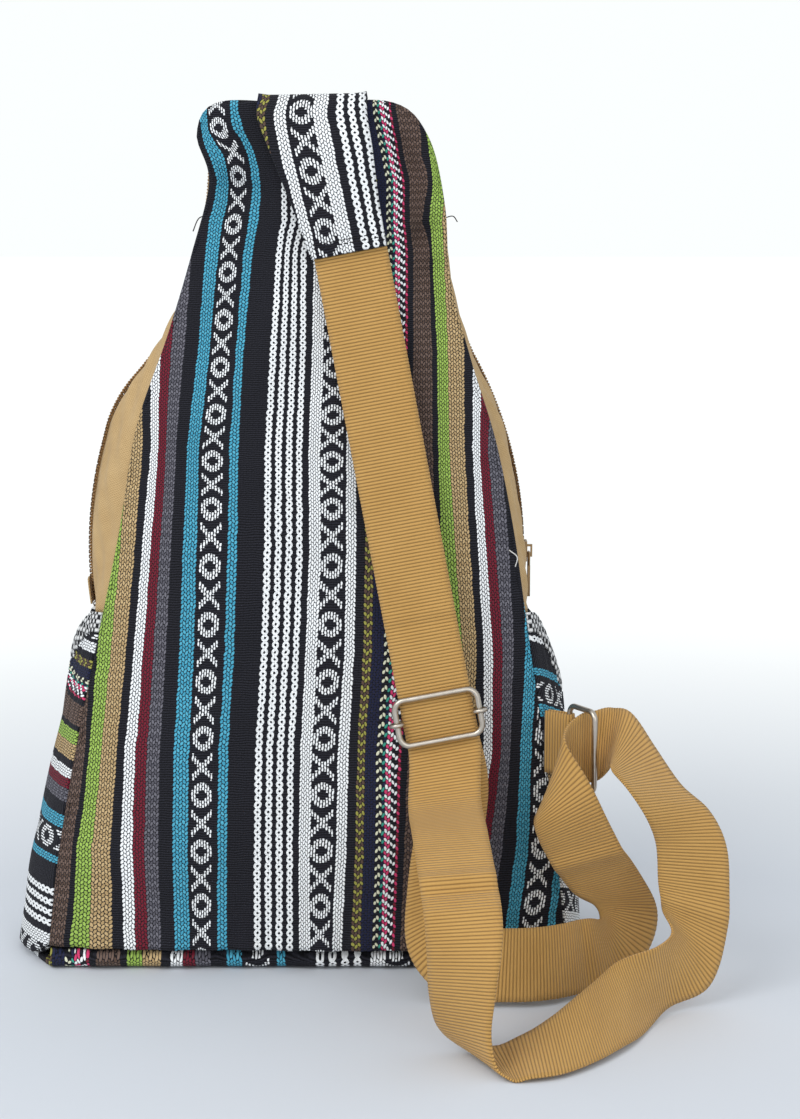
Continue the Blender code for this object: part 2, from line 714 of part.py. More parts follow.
def build_side(arches, side, collection):
    """Build one side's gusset, slip pocket and pocket hem."""
    word = "left" if side < 0 else "right"
    open_top = POCKET_OPEN_TOP_LEFT if side < 0 else POCKET_OPEN_TOP_RIGHT
    drop = MOUTH_DROP_LEFT if side < 0 else MOUTH_DROP_RIGHT
    lines = side_lines(arches, side)

    def gusset_foot(share):
        return foot_height(share, BOTTOM_CLOTH + SEAM_GAP)

    def gusset_top(share):
        return ZIP_FOOT_Z - ZIP_FOOT_GAP

    def flush(share, z):
        return 0.0

    def pocket_foot(share):
        return foot_height(share, POCKET_FOOT_Z)

    def mouth(share):
        return POCKET_TOP_Z - drop * math.sin(math.pi * share) ** 2

    def hem_foot(share):
        return mouth(share) - HEM_HEIGHT

    def pocket_top(share):
        return hem_foot(share) - SEAM_GAP

    def stand_off(share, z):
        height = (z - POCKET_FOOT_Z) / (POCKET_TOP_Z - POCKET_FOOT_Z)
        opening = POCKET_OPEN_FOOT + (open_top - POCKET_OPEN_FOOT) * height
        return POCKET_CLEARANCE + opening * math.sin(math.pi * share) ** POCKET_CURVE

    rows = side_rows(lines, side, gusset_foot, gusset_top, SIDE_ROWS, GUSSET_COLUMNS, flush)
    sheet(f"{word}_gusset", rows, CLOTH, "weave_side", collection)
    rows = side_rows(lines, side, pocket_foot, pocket_top, SIDE_ROWS, POCKET_COLUMNS, stand_off)
    sheet(f"{word}_pocket", rows, CLOTH, "weave_side", collection, outward=True)
    rows = side_rows(lines, side, hem_foot, mouth, 3, POCKET_COLUMNS, stand_off)
    sheet(f"{word}_pocket_hem", rows, HEM_THICK, "elastic", collection, outward=True)


def build_zip_end(side, collection):
    """Build the canvas tab that covers one end of the zip."""
    word = "left" if side < 0 else "right"
    half = ZIP_END_HALF_WIDTH
    lift = SEAM_GAP * 2 + COIL_HEIGHT
    arc = [point for point in zip_arc(side) if point.z <= ZIP_FOOT_Z + ZIP_END_HEIGHT]
    arc = resample(arc, 5)
    centre = Vector((CENTRE_X - side * ZIP_CENTRE_OFFSET, ZIP_Y, ZIP_CENTRE_Z))
    rows = []
    for point in arc:
        normal = (point - centre).normalized()
        lifted = point + normal * lift
        rows.append([lifted + Vector((0.0, shift, 0.0)) for shift in (-half, 0.0, half)])
    sheet(f"{word}_zip_end", rows, ZIP_END_CLOTH, "canvas", collection, outward=True)


def build_bottom(collection):
    """Build the bottom panel, flat on the floor and turned up at its two long seams."""
    back_left = half_outline(BACK_SEAM_LEFT, -1, lambda z: 0.0)[0]
    back_right = half_outline(BACK_SEAM_RIGHT, 1, lambda z: 0.0)[0]
    front_left = FRONT_SEAM_LEFT[0][1]
    front_right = FRONT_SEAM_RIGHT[0][1]
    side_left = SIDE_BULGE_LEFT[0][1]
    side_right = SIDE_BULGE_RIGHT[0][1]
    lip = SEAM_FOOT - BOTTOM_LIP_DROP
    reach_back = back_left.x, back_right.x
    reach_side = CENTRE_X - side_left, CENTRE_X + side_right
    reach_front = CENTRE_X - front_left, CENTRE_X + front_right
    profile = (
        (0.0000, lip, reach_back),
        (0.0005, 0.0050, reach_back),
        (0.0040, 0.0010, reach_back),
        (0.0100, 0.0000, blend(reach_back, reach_side, 0.40)),
        (0.0250, 0.0000, blend(reach_back, reach_side, 0.85)),
        (ZIP_Y, 0.0000, reach_side),
        (0.0600, 0.0000, blend(reach_side, reach_front, 0.12)),
        (0.0850, 0.0000, blend(reach_side, reach_front, 0.55)),
        (FOOT_DEPTH - 0.006, 0.0000, reach_front),
        (FOOT_DEPTH - 0.001, 0.0020, reach_front),
        (FOOT_DEPTH, lip, reach_front),
    )
    rows = []
    for y, z, (left, right) in profile:
        rows.append([Vector((left + (right - left) * step / 12, y, z)) for step in range(13)])
    sheet("bottom_panel", rows, BOTTOM_CLOTH, "weave_side", collection, outside=Vector((0, 0, -1)))


def blend(first, second, share):
    """Return the pair of values a share of the way from the first to the second."""
    return tuple(a + (b - a) * share for a, b in zip(first, second))


def strap_frame():
    """Return the buckle's matrix: X across the strap, Y up along it, Z out from the bag."""
    up = (STRAP_START - STRAP_BUCKLE).normalized()
    across = Vector((up.z, 0.0, -up.x)).normalized()
    out = across.cross(up)
    matrix = Matrix((across, up, out)).transposed().to_4x4()
    matrix.translation = STRAP_BUCKLE
    return matrix


def strap_stations():
    """Return the stations of the one length of webbing, from the base to its end."""
    frame = strap_frame()
    across = frame.col[0].to_3d()
    up = frame.col[1].to_3d()
    straight_length = (STRAP_START - STRAP_BUCKLE).length
    stations = []
    for distance in np.linspace(straight_length - BASE_OVERLAP, -STRAP_BEND, 12):
        stations.append((STRAP_BUCKLE + up * distance, across))
    free = [(Vector(a), Vector(b)) for a, b in FREE_STRAP]
    end_up, end_lean = return_end(frame)
    left = [stations[-2][0] - across * STRAP_WIDTH / 2, stations[-1][0] - across * STRAP_WIDTH / 2]
    right = [stations[-2][0] + across * STRAP_WIDTH / 2, stations[-1][0] + across * STRAP_WIDTH / 2]
    left += [a for a, b in free]
    right += [b for a, b in free]
    for centre in (end_up, end_lean):
        left.append(centre + across * STRAP_WIDTH / 2)
        right.append(centre - across * STRAP_WIDTH / 2)
    fine_left, fine_right = spline(left, STRAP_STEPS), spline(right, STRAP_STEPS)
    for a, b in list(zip(fine_left, fine_right))[STRAP_STEPS + 1:]:
        stations.append(((a + b) / 2, (b - a).normalized()))
    return [(centre, direction, STRAP_WIDTH) for centre, direction in stations]


def bar_depth():
    """Return how far behind the front ply the buckle's centre bar lies."""
    return STRAP_THICK * 1.5 + 2 * SEAM_GAP + BAR_WIRE / 2


def loop_radius():
    """Return the radius of the end loop's middle line round the bar."""
    return BAR_WIRE / 2 + SEAM_GAP + STRAP_THICK / 2


def return_end(frame):
    """Return the last two centres of the webbing, which lies behind the end loop's tail."""
    depth = bar_depth() + loop_radius() + STRAP_THICK + SEAM_GAP
    low = frame @ Vector((0.0, -LOOP_TAIL - LOOP_FRONT_TAIL, -depth))
    high = frame @ Vector((0.0, -RETURN_END_DROP, -depth))
    return low, high


def build_end_loop(collection):
    """Build the webbing's end, folded round the buckle's centre bar."""
    frame = strap_frame()
    depth = bar_depth()
    radius = loop_radius()
    across = frame.col[0].to_3d()
    path = [Vector((0.0, -LOOP_FRONT_TAIL, -depth + radius))]
    for angle in np.linspace(0.0, math.pi, 9):
        path.append(Vector((0.0, radius * math.sin(angle), -depth + radius * math.cos(angle))))
    path.append(Vector((0.0, -LOOP_TAIL, -depth - radius)))
    stations = [(frame @ point, across, STRAP_WIDTH) for point in path]
    ribbon("strap_end_loop", stations, STRAP_THICK, "webbing", collection)


def rounded_rectangle(half_x, half_y, corner):
    """Return the middle line of a bent wire rectangle, in its own plane."""
    points = []
    for quarter, (sign_x, sign_y) in enumerate(((1, 1), (-1, 1), (-1, -1), (1, -1))):
        centre = Vector((sign_x * (half_x - corner), sign_y * (half_y - corner), 0.0))
        for step in range(5):
            angle = math.pi / 2 * (quarter + step / 4)
            points.append(centre + Vector((math.cos(angle), math.sin(angle), 0.0)) * corner)
    return points


def build_buckle(collection):
    """Build the slide buckle: the bent frame in front and the hooked bar behind."""
    frame = strap_frame()
    lift = STRAP_THICK / 2 + SEAM_GAP + WIRE / 2
    half_x = STRAP_WIDTH / 2 + BUCKLE_SIDE_ROOM + WIRE / 2
    line = rounded_rectangle(half_x, BUCKLE_HEIGHT / 2, BUCKLE_CORNER)
    points = [frame @ (point + Vector((0.0, 0.0, lift))) for point in line]
    tube("buckle_frame", points, WIRE, True, "nickel", collection)

    depth = bar_depth()
    hook = WIRE / 2 + SEAM_GAP + BAR_WIRE / 2
    half_bar = []
    for angle in np.radians(np.linspace(HOOK_START, HOOK_END, 10)):
        half_bar.append(Vector((half_x + hook * math.cos(angle), 0.0, lift + hook * math.sin(angle))))
    half_bar.append(Vector((STRAP_WIDTH / 2 + BAR_END_ROOM, 0.0, -depth)))
    mirrored = [Vector((-point.x, point.y, point.z)) for point in reversed(half_bar)]
    points = [frame @ point for point in half_bar + mirrored]
    tube("buckle_bar", points, BAR_WIRE, False, "nickel", collection)


def build_ring(collection):
    """Build the wire ring, turned about its inner bar, and the tab that holds it."""
    half_height = STRAP_WIDTH / 2 + BUCKLE_SIDE_ROOM + RING_WIRE / 2
    line = rounded_rectangle(RING_DEPTH / 2, half_height, RING_CORNER)
    turn = Matrix.Rotation(RING_TURN, 4, "Z")
    stand = Matrix.Rotation(math.pi / 2, 4, "X")
    points = []
    for point in line:
        upright = stand @ (point + Vector((RING_DEPTH / 2, 0.0, 0.0)))
        points.append(RING_PIVOT + turn @ upright)
    tube("ring", points, RING_WIRE, True, "nickel", collection)

    radius = RING_WIRE / 2 + SEAM_GAP + STRAP_THICK / 2
    tail = radius * TAB_TAIL_SHARE
    path = [Vector((-TAB_REACH, -tail, 0.0))]
    for angle in np.linspace(-math.pi / 2, math.pi / 2, 9):
        path.append(Vector((radius * math.cos(angle), radius * math.sin(angle), 0.0)))
    path.append(Vector((-TAB_REACH, tail, 0.0)))
    upward = Vector((0.0, 0.0, 1.0))
    width = 2 * (half_height - RING_CORNER) - TAB_END_ROOM
    lean = Matrix.Rotation(TAB_TURN, 4, "Z")
    stations = [(RING_PIVOT + lean @ point, upward, width) for point in path]
    ribbon("ring_tab", stations, STRAP_THICK, "webbing", collection)


def build_strap_base(collection):
    """Build the tapered tab folded down from the top over the back panel."""
    frame = strap_frame()
    across = frame.col[0].to_3d()
    foot = STRAP_START - Vector((0.0, 0.0, BASE_OVERLAP))
    top = Vector((BASE_TOP_X, -0.0100, BASE_TOP_Z - 0.0092))
    out = Vector((0.0, -0.0035, 0.0))
    route = [
        foot + Vector((0.0, -(BASE_THICK + STRAP_THICK) / 2 - SEAM_GAP, 0.0)),
        foot.lerp(top, 0.35) + out,
        foot.lerp(top, 0.75) + out,
        top,
        Vector((BASE_TOP_X, -0.0030, BASE_TOP_Z)),
        Vector((BASE_TOP_X, 0.0090, BASE_TOP_Z)),
    ]
    widths = (BASE_FOOT_WIDTH, 0.044, 0.052, BASE_TOP_WIDTH, BASE_TOP_WIDTH, BASE_TOP_WIDTH)
    level = Vector((1.0, 0.0, 0.02)).normalized()
    directions = [across, across.lerp(level, 0.4), across.lerp(level, 0.8), level, level, level]
    fine = spline(route, 4)
    fine_width = spline([Vector((width, 0.0, 0.0)) for width in widths], 4)
    fine_across = spline(directions, 4)
    stations = []
    for centre, width, direction in zip(fine, fine_width, fine_across):
        stations.append((centre, direction.normalized(), width.x))
    ribbon("strap_base", stations, BASE_THICK, "weave", collection)


def set_origin(item, point):
    """Put an object's origin on a point without moving its shape."""
    item.data.transform(Matrix.Translation(-point) @ item.matrix_world)
    item.matrix_world = Matrix.Translation(point)


def place_origins(collection, cutters):
    """Put each moving piece's origin on its joint, then move all by the bag's own origin."""
    bpy.context.view_layer.update()
    parts = collection.objects
    zip_centre = Vector((CENTRE_X - ZIP_CENTRE_OFFSET, ZIP_Y, ZIP_CENTRE_Z))
    set_origin(parts["zip_slider"], zip_centre)
    for name in ("buckle_frame", "buckle_bar", "strap_end_loop"):
        set_origin(parts[name], STRAP_BUCKLE)
    set_origin(parts["ring"], RING_PIVOT)
    shift = Matrix.Translation((0.0, -ORIGIN_DEPTH, 0.0))
    bpy.context.view_layer.update()
    for item in (*parts, *cutters.objects):
        item.matrix_world = shift @ item.matrix_world


def build_strap(collection):
    """Build the one length of webbing."""
    ribbon("strap_webbing", strap_stations(), STRAP_THICK, "webbing", collection)


def main():
    """Build the whole bag."""
    clear_scene()
    scene = bpy.context.scene.collection
    parts = bpy.data.collections.new("crossbody_backpack")
    cutters = bpy.data.collections.new("cutters")
    scene.children.link(parts)
    scene.children.link(cutters)

    inside = CLOTH + SEAM_GAP
    arches = {
        "back": seam_arch(BACK_SEAM_LEFT, BACK_SEAM_RIGHT, lambda z: 0.0),
        "back_inner": seam_arch(BACK_SEAM_LEFT, BACK_SEAM_RIGHT, lambda z: inside),
        "front": seam_arch(FRONT_SEAM_LEFT, FRONT_SEAM_RIGHT, depth_at),
        "front_inner": seam_arch(FRONT_SEAM_LEFT, FRONT_SEAM_RIGHT, lambda z: depth_at(z) - inside),
        "zip": zip_arch(),
    }
    build_panels(arches, parts)
    build_bottom(parts)
    for side in (-1, 1):
        build_side(arches, side, parts)
        build_zip_end(side, parts)
    build_zip(arches, parts)
    build_slider(parts, cutters)
    build_strap_base(parts)
    build_strap(parts)
    build_end_loop(parts)
    build_buckle(parts)
    build_ring(parts)
    place_origins(parts, cutters)


main()
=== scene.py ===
import logging
import math
from dataclasses import dataclass, field
from typing import Callable

import bpy
import numpy as np
from mathutils import Matrix, Vector


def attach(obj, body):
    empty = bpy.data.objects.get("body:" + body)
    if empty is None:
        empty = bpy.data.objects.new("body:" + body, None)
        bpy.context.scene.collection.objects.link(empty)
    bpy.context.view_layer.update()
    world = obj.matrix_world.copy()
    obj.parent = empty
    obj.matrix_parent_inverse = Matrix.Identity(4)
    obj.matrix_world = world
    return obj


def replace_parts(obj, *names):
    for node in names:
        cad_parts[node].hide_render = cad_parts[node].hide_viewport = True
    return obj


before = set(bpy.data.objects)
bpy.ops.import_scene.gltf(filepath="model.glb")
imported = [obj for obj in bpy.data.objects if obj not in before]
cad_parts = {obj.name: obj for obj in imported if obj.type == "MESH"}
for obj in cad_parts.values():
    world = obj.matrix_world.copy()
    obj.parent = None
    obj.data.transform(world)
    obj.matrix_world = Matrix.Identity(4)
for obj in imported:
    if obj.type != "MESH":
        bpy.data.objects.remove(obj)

LOG = logging.getLogger("crossbody_backpack")
Point = tuple[float, float, float]
Colour = tuple[float, float, float]
Line = list[Vector]
Material = bpy.types.Material
Piece = bpy.types.Object
Socket = bpy.types.NodeSocket


def srgb(red: int, green: int, blue: int) -> Colour:
    """Return a linear colour.

    Args:
        red: Red from 0 to 255.
        green: Green from 0 to 255.
        blue: Blue from 0 to 255.

    Returns:
        The colour as a shader takes it.
    """
    shares = (value / 255 for value in (red, green, blue))
    return tuple(v / 12.92 if v <= 0.04045 else ((v + 0.055) / 1.055) ** 2.4 for v in shares)


class Network:
    """A material's node tree with short calls for its nodes."""

    def __init__(self, name: str) -> None:
        """Make the material.

        Args:
            name: The material's name.
        """
        self.material = bpy.data.materials.new(name)
        self.material.use_nodes = True
        self.tree = self.material.node_tree
        self.shader = self.tree.nodes["Principled BSDF"]

    def put(self, value: object, socket: Socket) -> None:
        """Link or set a socket.

        Args:
            value: A socket, a number or a colour.
            socket: The input that takes it.
        """
        if isinstance(value, Socket):
            self.tree.links.new(value, socket)
        elif isinstance(value, tuple) and len(value) == 3 and len(socket.default_value) == 4:
            socket.default_value = (*value, 1.0)
        else:
            socket.default_value = value

    def math(self, operation: str, *values: object) -> Socket:
        """Add a Math node.

        Args:
            operation: The node's operation.
            values: Its inputs, numbers or sockets.

        Returns:
            The node's output.
        """
        node = self.tree.nodes.new("ShaderNodeMath")
        node.operation = operation
        for value, socket in zip(values, node.inputs):
            self.put(value, socket)
        return node.outputs[0]

    def plus(self, first: object, second: object) -> Socket:
        """Return the sum of two values."""
        return self.math("ADD", first, second)

    def minus(self, first: object, second: object) -> Socket:
        """Return the first value less the second."""
        return self.math("SUBTRACT", first, second)

    def times(self, first: object, second: object) -> Socket:
        """Return the product of two values."""
        return self.math("MULTIPLY", first, second)

    def over(self, first: object, second: object) -> Socket:
        """Return the first value divided by the second."""
        return self.math("DIVIDE", first, second)

    def power(self, value: object, exponent: float) -> Socket:
        """Return a value raised to a power."""
        return self.math("POWER", value, exponent)

    def size(self, value: object) -> Socket:
        """Return a value without its sign."""
        return self.math("ABSOLUTE", value)

    def wrap(self, value: object, period: float) -> Socket:
        """Return a value's place inside a repeated period."""
        return self.math("FLOORED_MODULO", value, period)

    def wave(self, value: object, half_length: float) -> Socket:
        """Return a sine wave that crosses zero at every half length."""
        return self.math("SINE", self.times(value, math.pi / half_length))

    def mix(self, share: object, first: object, second: object, blend: str = "MIX") -> Socket:
        """Mix two colours.

        Args:
            share: How much of the second colour shows.
            first: The colour at 0.
            second: The colour at 1.
            blend: The way they mix.

        Returns:
            The mixed colour.
        """
        node = self.tree.nodes.new("ShaderNodeMix")
        node.data_type = "RGBA"
        node.blend_type = blend
        self.put(share, node.inputs["Factor"])
        self.put(first, node.inputs[6])
        self.put(second, node.inputs[7])
        return node.outputs[2]

    def steps(self, place: object, stops: list[tuple[float, Colour]]) -> Socket:
        """Add a colour ramp whose colours change at once from stop to stop.

        Args:
            place: Where along the ramp, from 0 to 1.
            stops: Each stop's place and colour.

        Returns:
            The colour there.
        """
        node = self.tree.nodes.new("ShaderNodeValToRGB")
        ramp = node.color_ramp
        ramp.interpolation = "CONSTANT"
        ramp.elements[0].position, ramp.elements[0].color = stops[0][0], (*stops[0][1], 1.0)
        ramp.elements.remove(ramp.elements[1])
        for position, colour in stops[1:]:
            ramp.elements.new(position).color = (*colour, 1.0)
        self.put(place, node.inputs[0])
        return node.outputs[0]

    def noise(self, vector: object, scale: float, detail: float = 2.0) -> Socket:
        """Add a noise texture.

        Args:
            vector: Its coordinates.
            scale: Its scale.
            detail: Its detail.

        Returns:
            The noise, from 0 to 1.
        """
        node = self.tree.nodes.new("ShaderNodeTexNoise")
        self.put(vector, node.inputs["Vector"])
        node.inputs["Scale"].default_value = scale
        node.inputs["Detail"].default_value = detail
        return node.outputs[0]

    def cloth_axes(self) -> tuple[Socket, Socket, Socket]:
        """Return the cloth's UV vector and its two axes in millimetres."""
        source = self.tree.nodes.new("ShaderNodeUVMap")
        source.uv_map = "cloth"
        split = self.tree.nodes.new("ShaderNodeSeparateXYZ")
        self.tree.links.new(source.outputs[0], split.inputs[0])
        across = self.math("MULTIPLY", split.outputs[0], 1000.0)
        along = self.math("MULTIPLY", split.outputs[1], 1000.0)
        return source.outputs[0], across, along

    def object_place(self) -> Socket:
        """Return the object coordinates."""
        return self.tree.nodes.new("ShaderNodeTexCoord").outputs["Object"]

    def bump(self, height: object, strength: float, distance: float) -> None:
        """Give the shader a bump.

        Args:
            height: The height.
            strength: The node's strength.
            distance: Its depth in metres.
        """
        node = self.tree.nodes.new("ShaderNodeBump")
        node.inputs["Strength"].default_value = strength
        node.inputs["Distance"].default_value = distance
        self.put(height, node.inputs["Height"])
        self.tree.links.new(node.outputs[0], self.shader.inputs["Normal"])

    def finish(self, colour: object, roughness: object, metallic: float = 0.0,
               sheen: float = 0.0) -> Material:
        """Set the shader's main sockets.

        Args:
            colour: The base colour.
            roughness: The roughness.
            metallic: 1 for bare metal.
            sheen: The weight of a cloth's sheen.

        Returns:
            The finished material.
        """
        self.put(colour, self.shader.inputs["Base Color"])
        self.put(roughness, self.shader.inputs["Roughness"])
        self.shader.inputs["Metallic"].default_value = metallic
        soft = sheen and not metallic
        self.shader.inputs["Specular IOR Level"].default_value = 0.22 if soft else 0.5
        self.shader.inputs["Sheen Weight"].default_value = sheen
        return self.material


@dataclass(frozen=True)
class StripedWeave:
    """Hand-woven striped cotton: one repeat of stripes, chains, and crosses in turn with hollow diamonds.

    Every length is in millimetres on the cloth.
    """

    name: str = "striped_weave"
    period: float = 181.125
    start: float = -126.8
    black: Colour = srgb(16, 16, 21)
    white: Colour = srgb(246, 248, 248)
    cyan: Colour = srgb(84, 172, 198)
    # The darker copies of a stripe's own colour (cyan, green, tan, grey and brown) paint shade on alternate
    # stitches; the dark brown is also a real yarn beside the olive.
    cyan_shaded: Colour = srgb(68, 156, 184)
    green: Colour = srgb(162, 194, 92)
    green_shaded: Colour = srgb(146, 176, 80)
    tan: Colour = srgb(198, 170, 124)
    tan_shaded: Colour = srgb(180, 152, 108)
    brown: Colour = srgb(114, 94, 84)
    dark_brown_and_brown_shade: Colour = srgb(90, 72, 62)
    maroon: Colour = srgb(116, 24, 46)
    grey: Colour = srgb(112, 110, 118)
    grey_shaded: Colour = srgb(90, 88, 96)
    navy: Colour = srgb(30, 36, 64)
    olive: Colour = srgb(158, 154, 76)
    teal: Colour = srgb(66, 160, 140)
    pink: Colour = srgb(214, 66, 112)
    cream: Colour = srgb(226, 226, 198)
    chain_start: float = -24.0
    chain_pitch: float = 5.75
    ring_pitch: float = 3.7
    ring_half: float = 1.9
    ornament_centres: tuple[float, float] = (-52.75, 11.94)
    ornament_half: float = 5.6
    ornament_period: float = 30.2
    ornament_shift: float = 10.0
    yarn_pitch: float = 1.4375
    stitch_pitch: float = 2.4
    rib_pitch: float = 1.3
    # Painted shade: shade fills the gaps between the stitches and is lighter towards rib on the rib crests;
    # the dark parts lighten towards weft on each rib, with shade between the ribs.
    shade: Colour = srgb(10, 10, 14)
    rib: Colour = srgb(38, 38, 50)
    weft: Colour = srgb(46, 46, 54)
    wobble: float = 1.6
    yarn_lean: float = 0.42
    float_lean: float = 0.34
    yarn_half: float = 0.50
    float_slim: float = 0.115
    stitch_half: float = 0.52
    weft_share: float = 0.8

    def stripes(self) -> list[tuple[float, Colour, Colour]]:
        """Return each stripe's start in millimetres, its colour and its colour on alternate stitches, which
        is a second yarn in some stripes and, in others, a darker copy of its own colour as painted shade.
        """
        black, white = self.black, self.white
        return [
            (self.start, self.brown, self.dark_brown_and_brown_shade), (-116.0, black, black),
            (-113.4, self.green, self.green_shaded), (-106.1, self.tan, self.tan_shaded), (-98.2, black, black),
            (-93.0, white, white), (-87.8, self.maroon, self.maroon), (-82.0, self.grey, self.grey_shaded),
            (-74.7, black, black), (-67.4, self.cyan, self.cyan_shaded), (-60.1, black, black),
            (-45.4, self.cyan, self.cyan_shaded), (-40.2, black, black), (-1.5, white, white),
            (5.2, black, black), (18.3, white, white), (25.1, black, black),
            (28.7, self.olive, self.dark_brown_and_brown_shade), (32.9, self.navy, self.navy), (38.7, self.cream, black),
            (41.3, self.teal, self.navy), (43.4, white, self.pink), (46.0, black, white),
            (48.6, self.pink, self.maroon), (50.7, black, black),
        ]

    def make(self) -> Material:
        """Return the woven material, which reads the piece's cloth UV map."""
        net = Network(self.name)
        vector, across, along = net.cloth_axes()
        wobble = net.times(net.minus(net.noise(vector, 120.0), 0.5), self.wobble)
        along = net.plus(along, net.times(wobble, 1.2))
        thread = net.over(net.plus(net.plus(across, wobble), -self.chain_start), self.yarn_pitch)
        column = net.math("FLOOR", thread)
        middle = net.plus(net.times(net.plus(column, 0.5), self.yarn_pitch), self.chain_start)
        wrapped = net.wrap(net.minus(middle, self.start), self.period)
        place = net.over(wrapped, self.period)
        local = net.plus(wrapped, self.start)
        offsets = [net.size(net.minus(local, centre)) for centre in self.ornament_centres]
        near = net.math("MINIMUM", *offsets)
        floats = net.math("LESS_THAN", near, self.ornament_half + 0.2)
        odd = net.wrap(column, 2.0)
        beat = net.plus(net.over(along, self.stitch_pitch), net.times(odd, 0.5))
        yarn = self.yarns(net, thread, beat, odd, floats)

        first = [((mark - self.start) / self.period, colour) for mark, colour, other in self.stripes()]
        second = [((mark - self.start) / self.period, other) for mark, colour, other in self.stripes()]
        # Alternate stitches take the second colours: a second yarn in some stripes, painted shade in the
        # others.
        turn = net.wrap(net.plus(net.math("FLOOR", beat), column), 2.0)
        cloth = net.mix(turn, net.steps(place, first), net.steps(place, second))
        cloth = net.mix(self.ornament(net, near, floats, along), cloth, self.white)

        rib = net.plus(net.times(net.wave(along, self.rib_pitch / 2), 0.5), 0.5)
        fibre = net.noise(vector, 1500.0, 3.0)
        # Between the stitches the cloth shows painted shade, a little lighter on the ribs.
        gap_shade = net.mix(net.times(rib, fibre), self.shade, self.rib)
        cloth = net.mix(yarn, gap_shade, cloth)
        # Dark parts lighten to the weft grey on each rib, with painted shade between the ribs.
        cloth = net.mix(self.weft_share, cloth, net.mix(rib, self.shade, self.weft), "LIGHTEN")
        exact = net.times(thread, self.yarn_pitch)
        cloth = net.mix(self.chains(net, exact, along), cloth, self.white)
        broad = net.plus(net.times(net.noise(vector, 24.0), 0.26), 0.87)
        tone = net.times(net.plus(net.times(fibre, 0.36), 0.82), broad)
        cloth = net.mix(1.0, cloth, self.grey_of(net, tone), "MULTIPLY")
        relief = net.plus(net.times(yarn, 0.8), net.times(rib, 0.2))
        net.bump(relief, 0.8, 0.0006)
        return net.finish(cloth, 0.92, sheen=0.02)

    def yarns(self, net: Network, thread: object, beat: object, odd: object,
              floats: object) -> Socket:
        """Return the mask of the yarn's stitches: leaning ovals, slimmer and straighter in the ornament.

        Args:
            net: The material's network.
            thread: The place across the cloth, counted in yarns.
            beat: The place along the cloth, counted in stitches.
            odd: 1 on every second yarn and 0 on the others.
            floats: 1 inside the ornament's bands and 0 elsewhere.

        Returns:
            1 on a stitch, falling to 0 between stitches.
        """
        rise = net.minus(net.math("FRACT", beat), 0.5)
        way = net.minus(net.times(odd, 2.0), 1.0)
        lean = net.times(way, net.minus(self.yarn_lean, net.times(floats, self.float_lean)))
        slim = net.minus(self.yarn_half, net.times(floats, self.float_slim))
        aside = net.plus(net.minus(net.math("FRACT", thread), 0.5), net.times(rise, lean))
        wide = net.power(net.over(net.size(aside), slim), 2.0)
        tall = net.power(net.over(net.size(rise), self.stitch_half), 2.2)
        edge = net.times(net.minus(1.06, net.plus(wide, tall)), 2.2)
        return net.math("MAXIMUM", net.math("MINIMUM", edge, 1.0), 0.0)

    def grey_of(self, net: Network, value: object) -> Socket:
        """Return a number as a grey colour.

        Args:
            net: The material's network.
            value: The number.

        Returns:
            A colour of three equal parts.
        """
        node = net.tree.nodes.new("ShaderNodeCombineColor")
        for socket in node.inputs:
            net.put(value, socket)
        return node.outputs[0]

    def chains(self, net: Network, across: object, along: object) -> Socket:
        """Return the mask of the four white chain lines, each a row of small rings.

        Args:
            net: The material's network.
            across: The place across the cloth from the first chain, in millimetres.
            along: The place along the cloth, in millimetres.

        Returns:
            1 on the chains and 0 elsewhere.
        """
        pitch = self.chain_pitch
        wrapped = net.minus(net.wrap(net.plus(across, pitch / 2), self.period), pitch / 2)
        off = net.minus(net.wrap(net.plus(wrapped, pitch / 2), pitch), pitch / 2)
        beat = net.minus(net.math("FRACT", net.over(along, self.ring_pitch)), 0.5)
        wide = net.power(net.over(net.size(off), self.ring_half), 2.0)
        tall = net.power(net.size(net.times(beat, 1.80)), 2.0)
        ring = net.plus(wide, tall)
        solid = net.times(net.math("GREATER_THAN", ring, 0.11), net.math("LESS_THAN", ring, 1.0))
        before = net.math("LESS_THAN", wrapped, 3.5 * pitch)
        return net.times(solid, before)

    def ornament(self, net: Network, near: object, floats: object, along: object) -> Socket:
        """Return the mask of the two ornament bands: crosses and hollow diamonds in turn.

        Args:
            net: The material's network.
            near: The distance to the nearer band's middle, in millimetres.
            floats: 1 inside the bands and 0 elsewhere.
            along: The place along the cloth, in millimetres.

        Returns:
            1 on the white yarn of the ornament and 0 elsewhere.
        """
        a = net.over(near, self.ornament_half)
        beat = net.over(net.plus(along, self.ornament_shift), self.ornament_period / 2)
        part = net.wrap(net.math("FLOOR", beat), 2.0)
        t = net.size(net.minus(net.times(net.math("FRACT", beat), 2.0), 1.0))
        arm = net.size(net.minus(t, net.times(a, 0.80)))
        cross = net.math("LESS_THAN", arm, 0.25)
        ring = net.plus(net.power(a, 2.0), net.power(net.over(t, 0.88), 2.0))
        diamond = net.times(net.math("GREATER_THAN", ring, 0.19), net.math("LESS_THAN", ring, 1.02))
        shape = net.plus(net.times(cross, net.minus(1.0, part)), net.times(diamond, part))
        return net.times(shape, floats)


@dataclass(frozen=True)
class PlainCloth:
    """A plain woven cloth of one colour: canvas, tape, or the foam behind the panel."""

    name: str
    colour: Colour
    dark: Colour
    pitch: float = 0.55
    depth: float = 0.0003
    roughness: float = 0.9

    def make(self) -> Material:
        """Return the cloth's material, which reads the piece's cloth UV map."""
        net = Network(self.name)
        vector, across, along = net.cloth_axes()
        crossing = net.times(net.wave(across, self.pitch), net.wave(along, self.pitch))
        weave = net.plus(net.times(crossing, 0.5), 0.5)
        patch = net.noise(vector, 60.0, 4.0)
        tone = net.plus(net.times(weave, 0.45), net.times(patch, 0.55))
        net.bump(net.plus(weave, net.noise(vector, 900.0)), 0.6, self.depth)
        return net.finish(net.mix(tone, self.dark, self.colour), self.roughness, sheen=0.1)


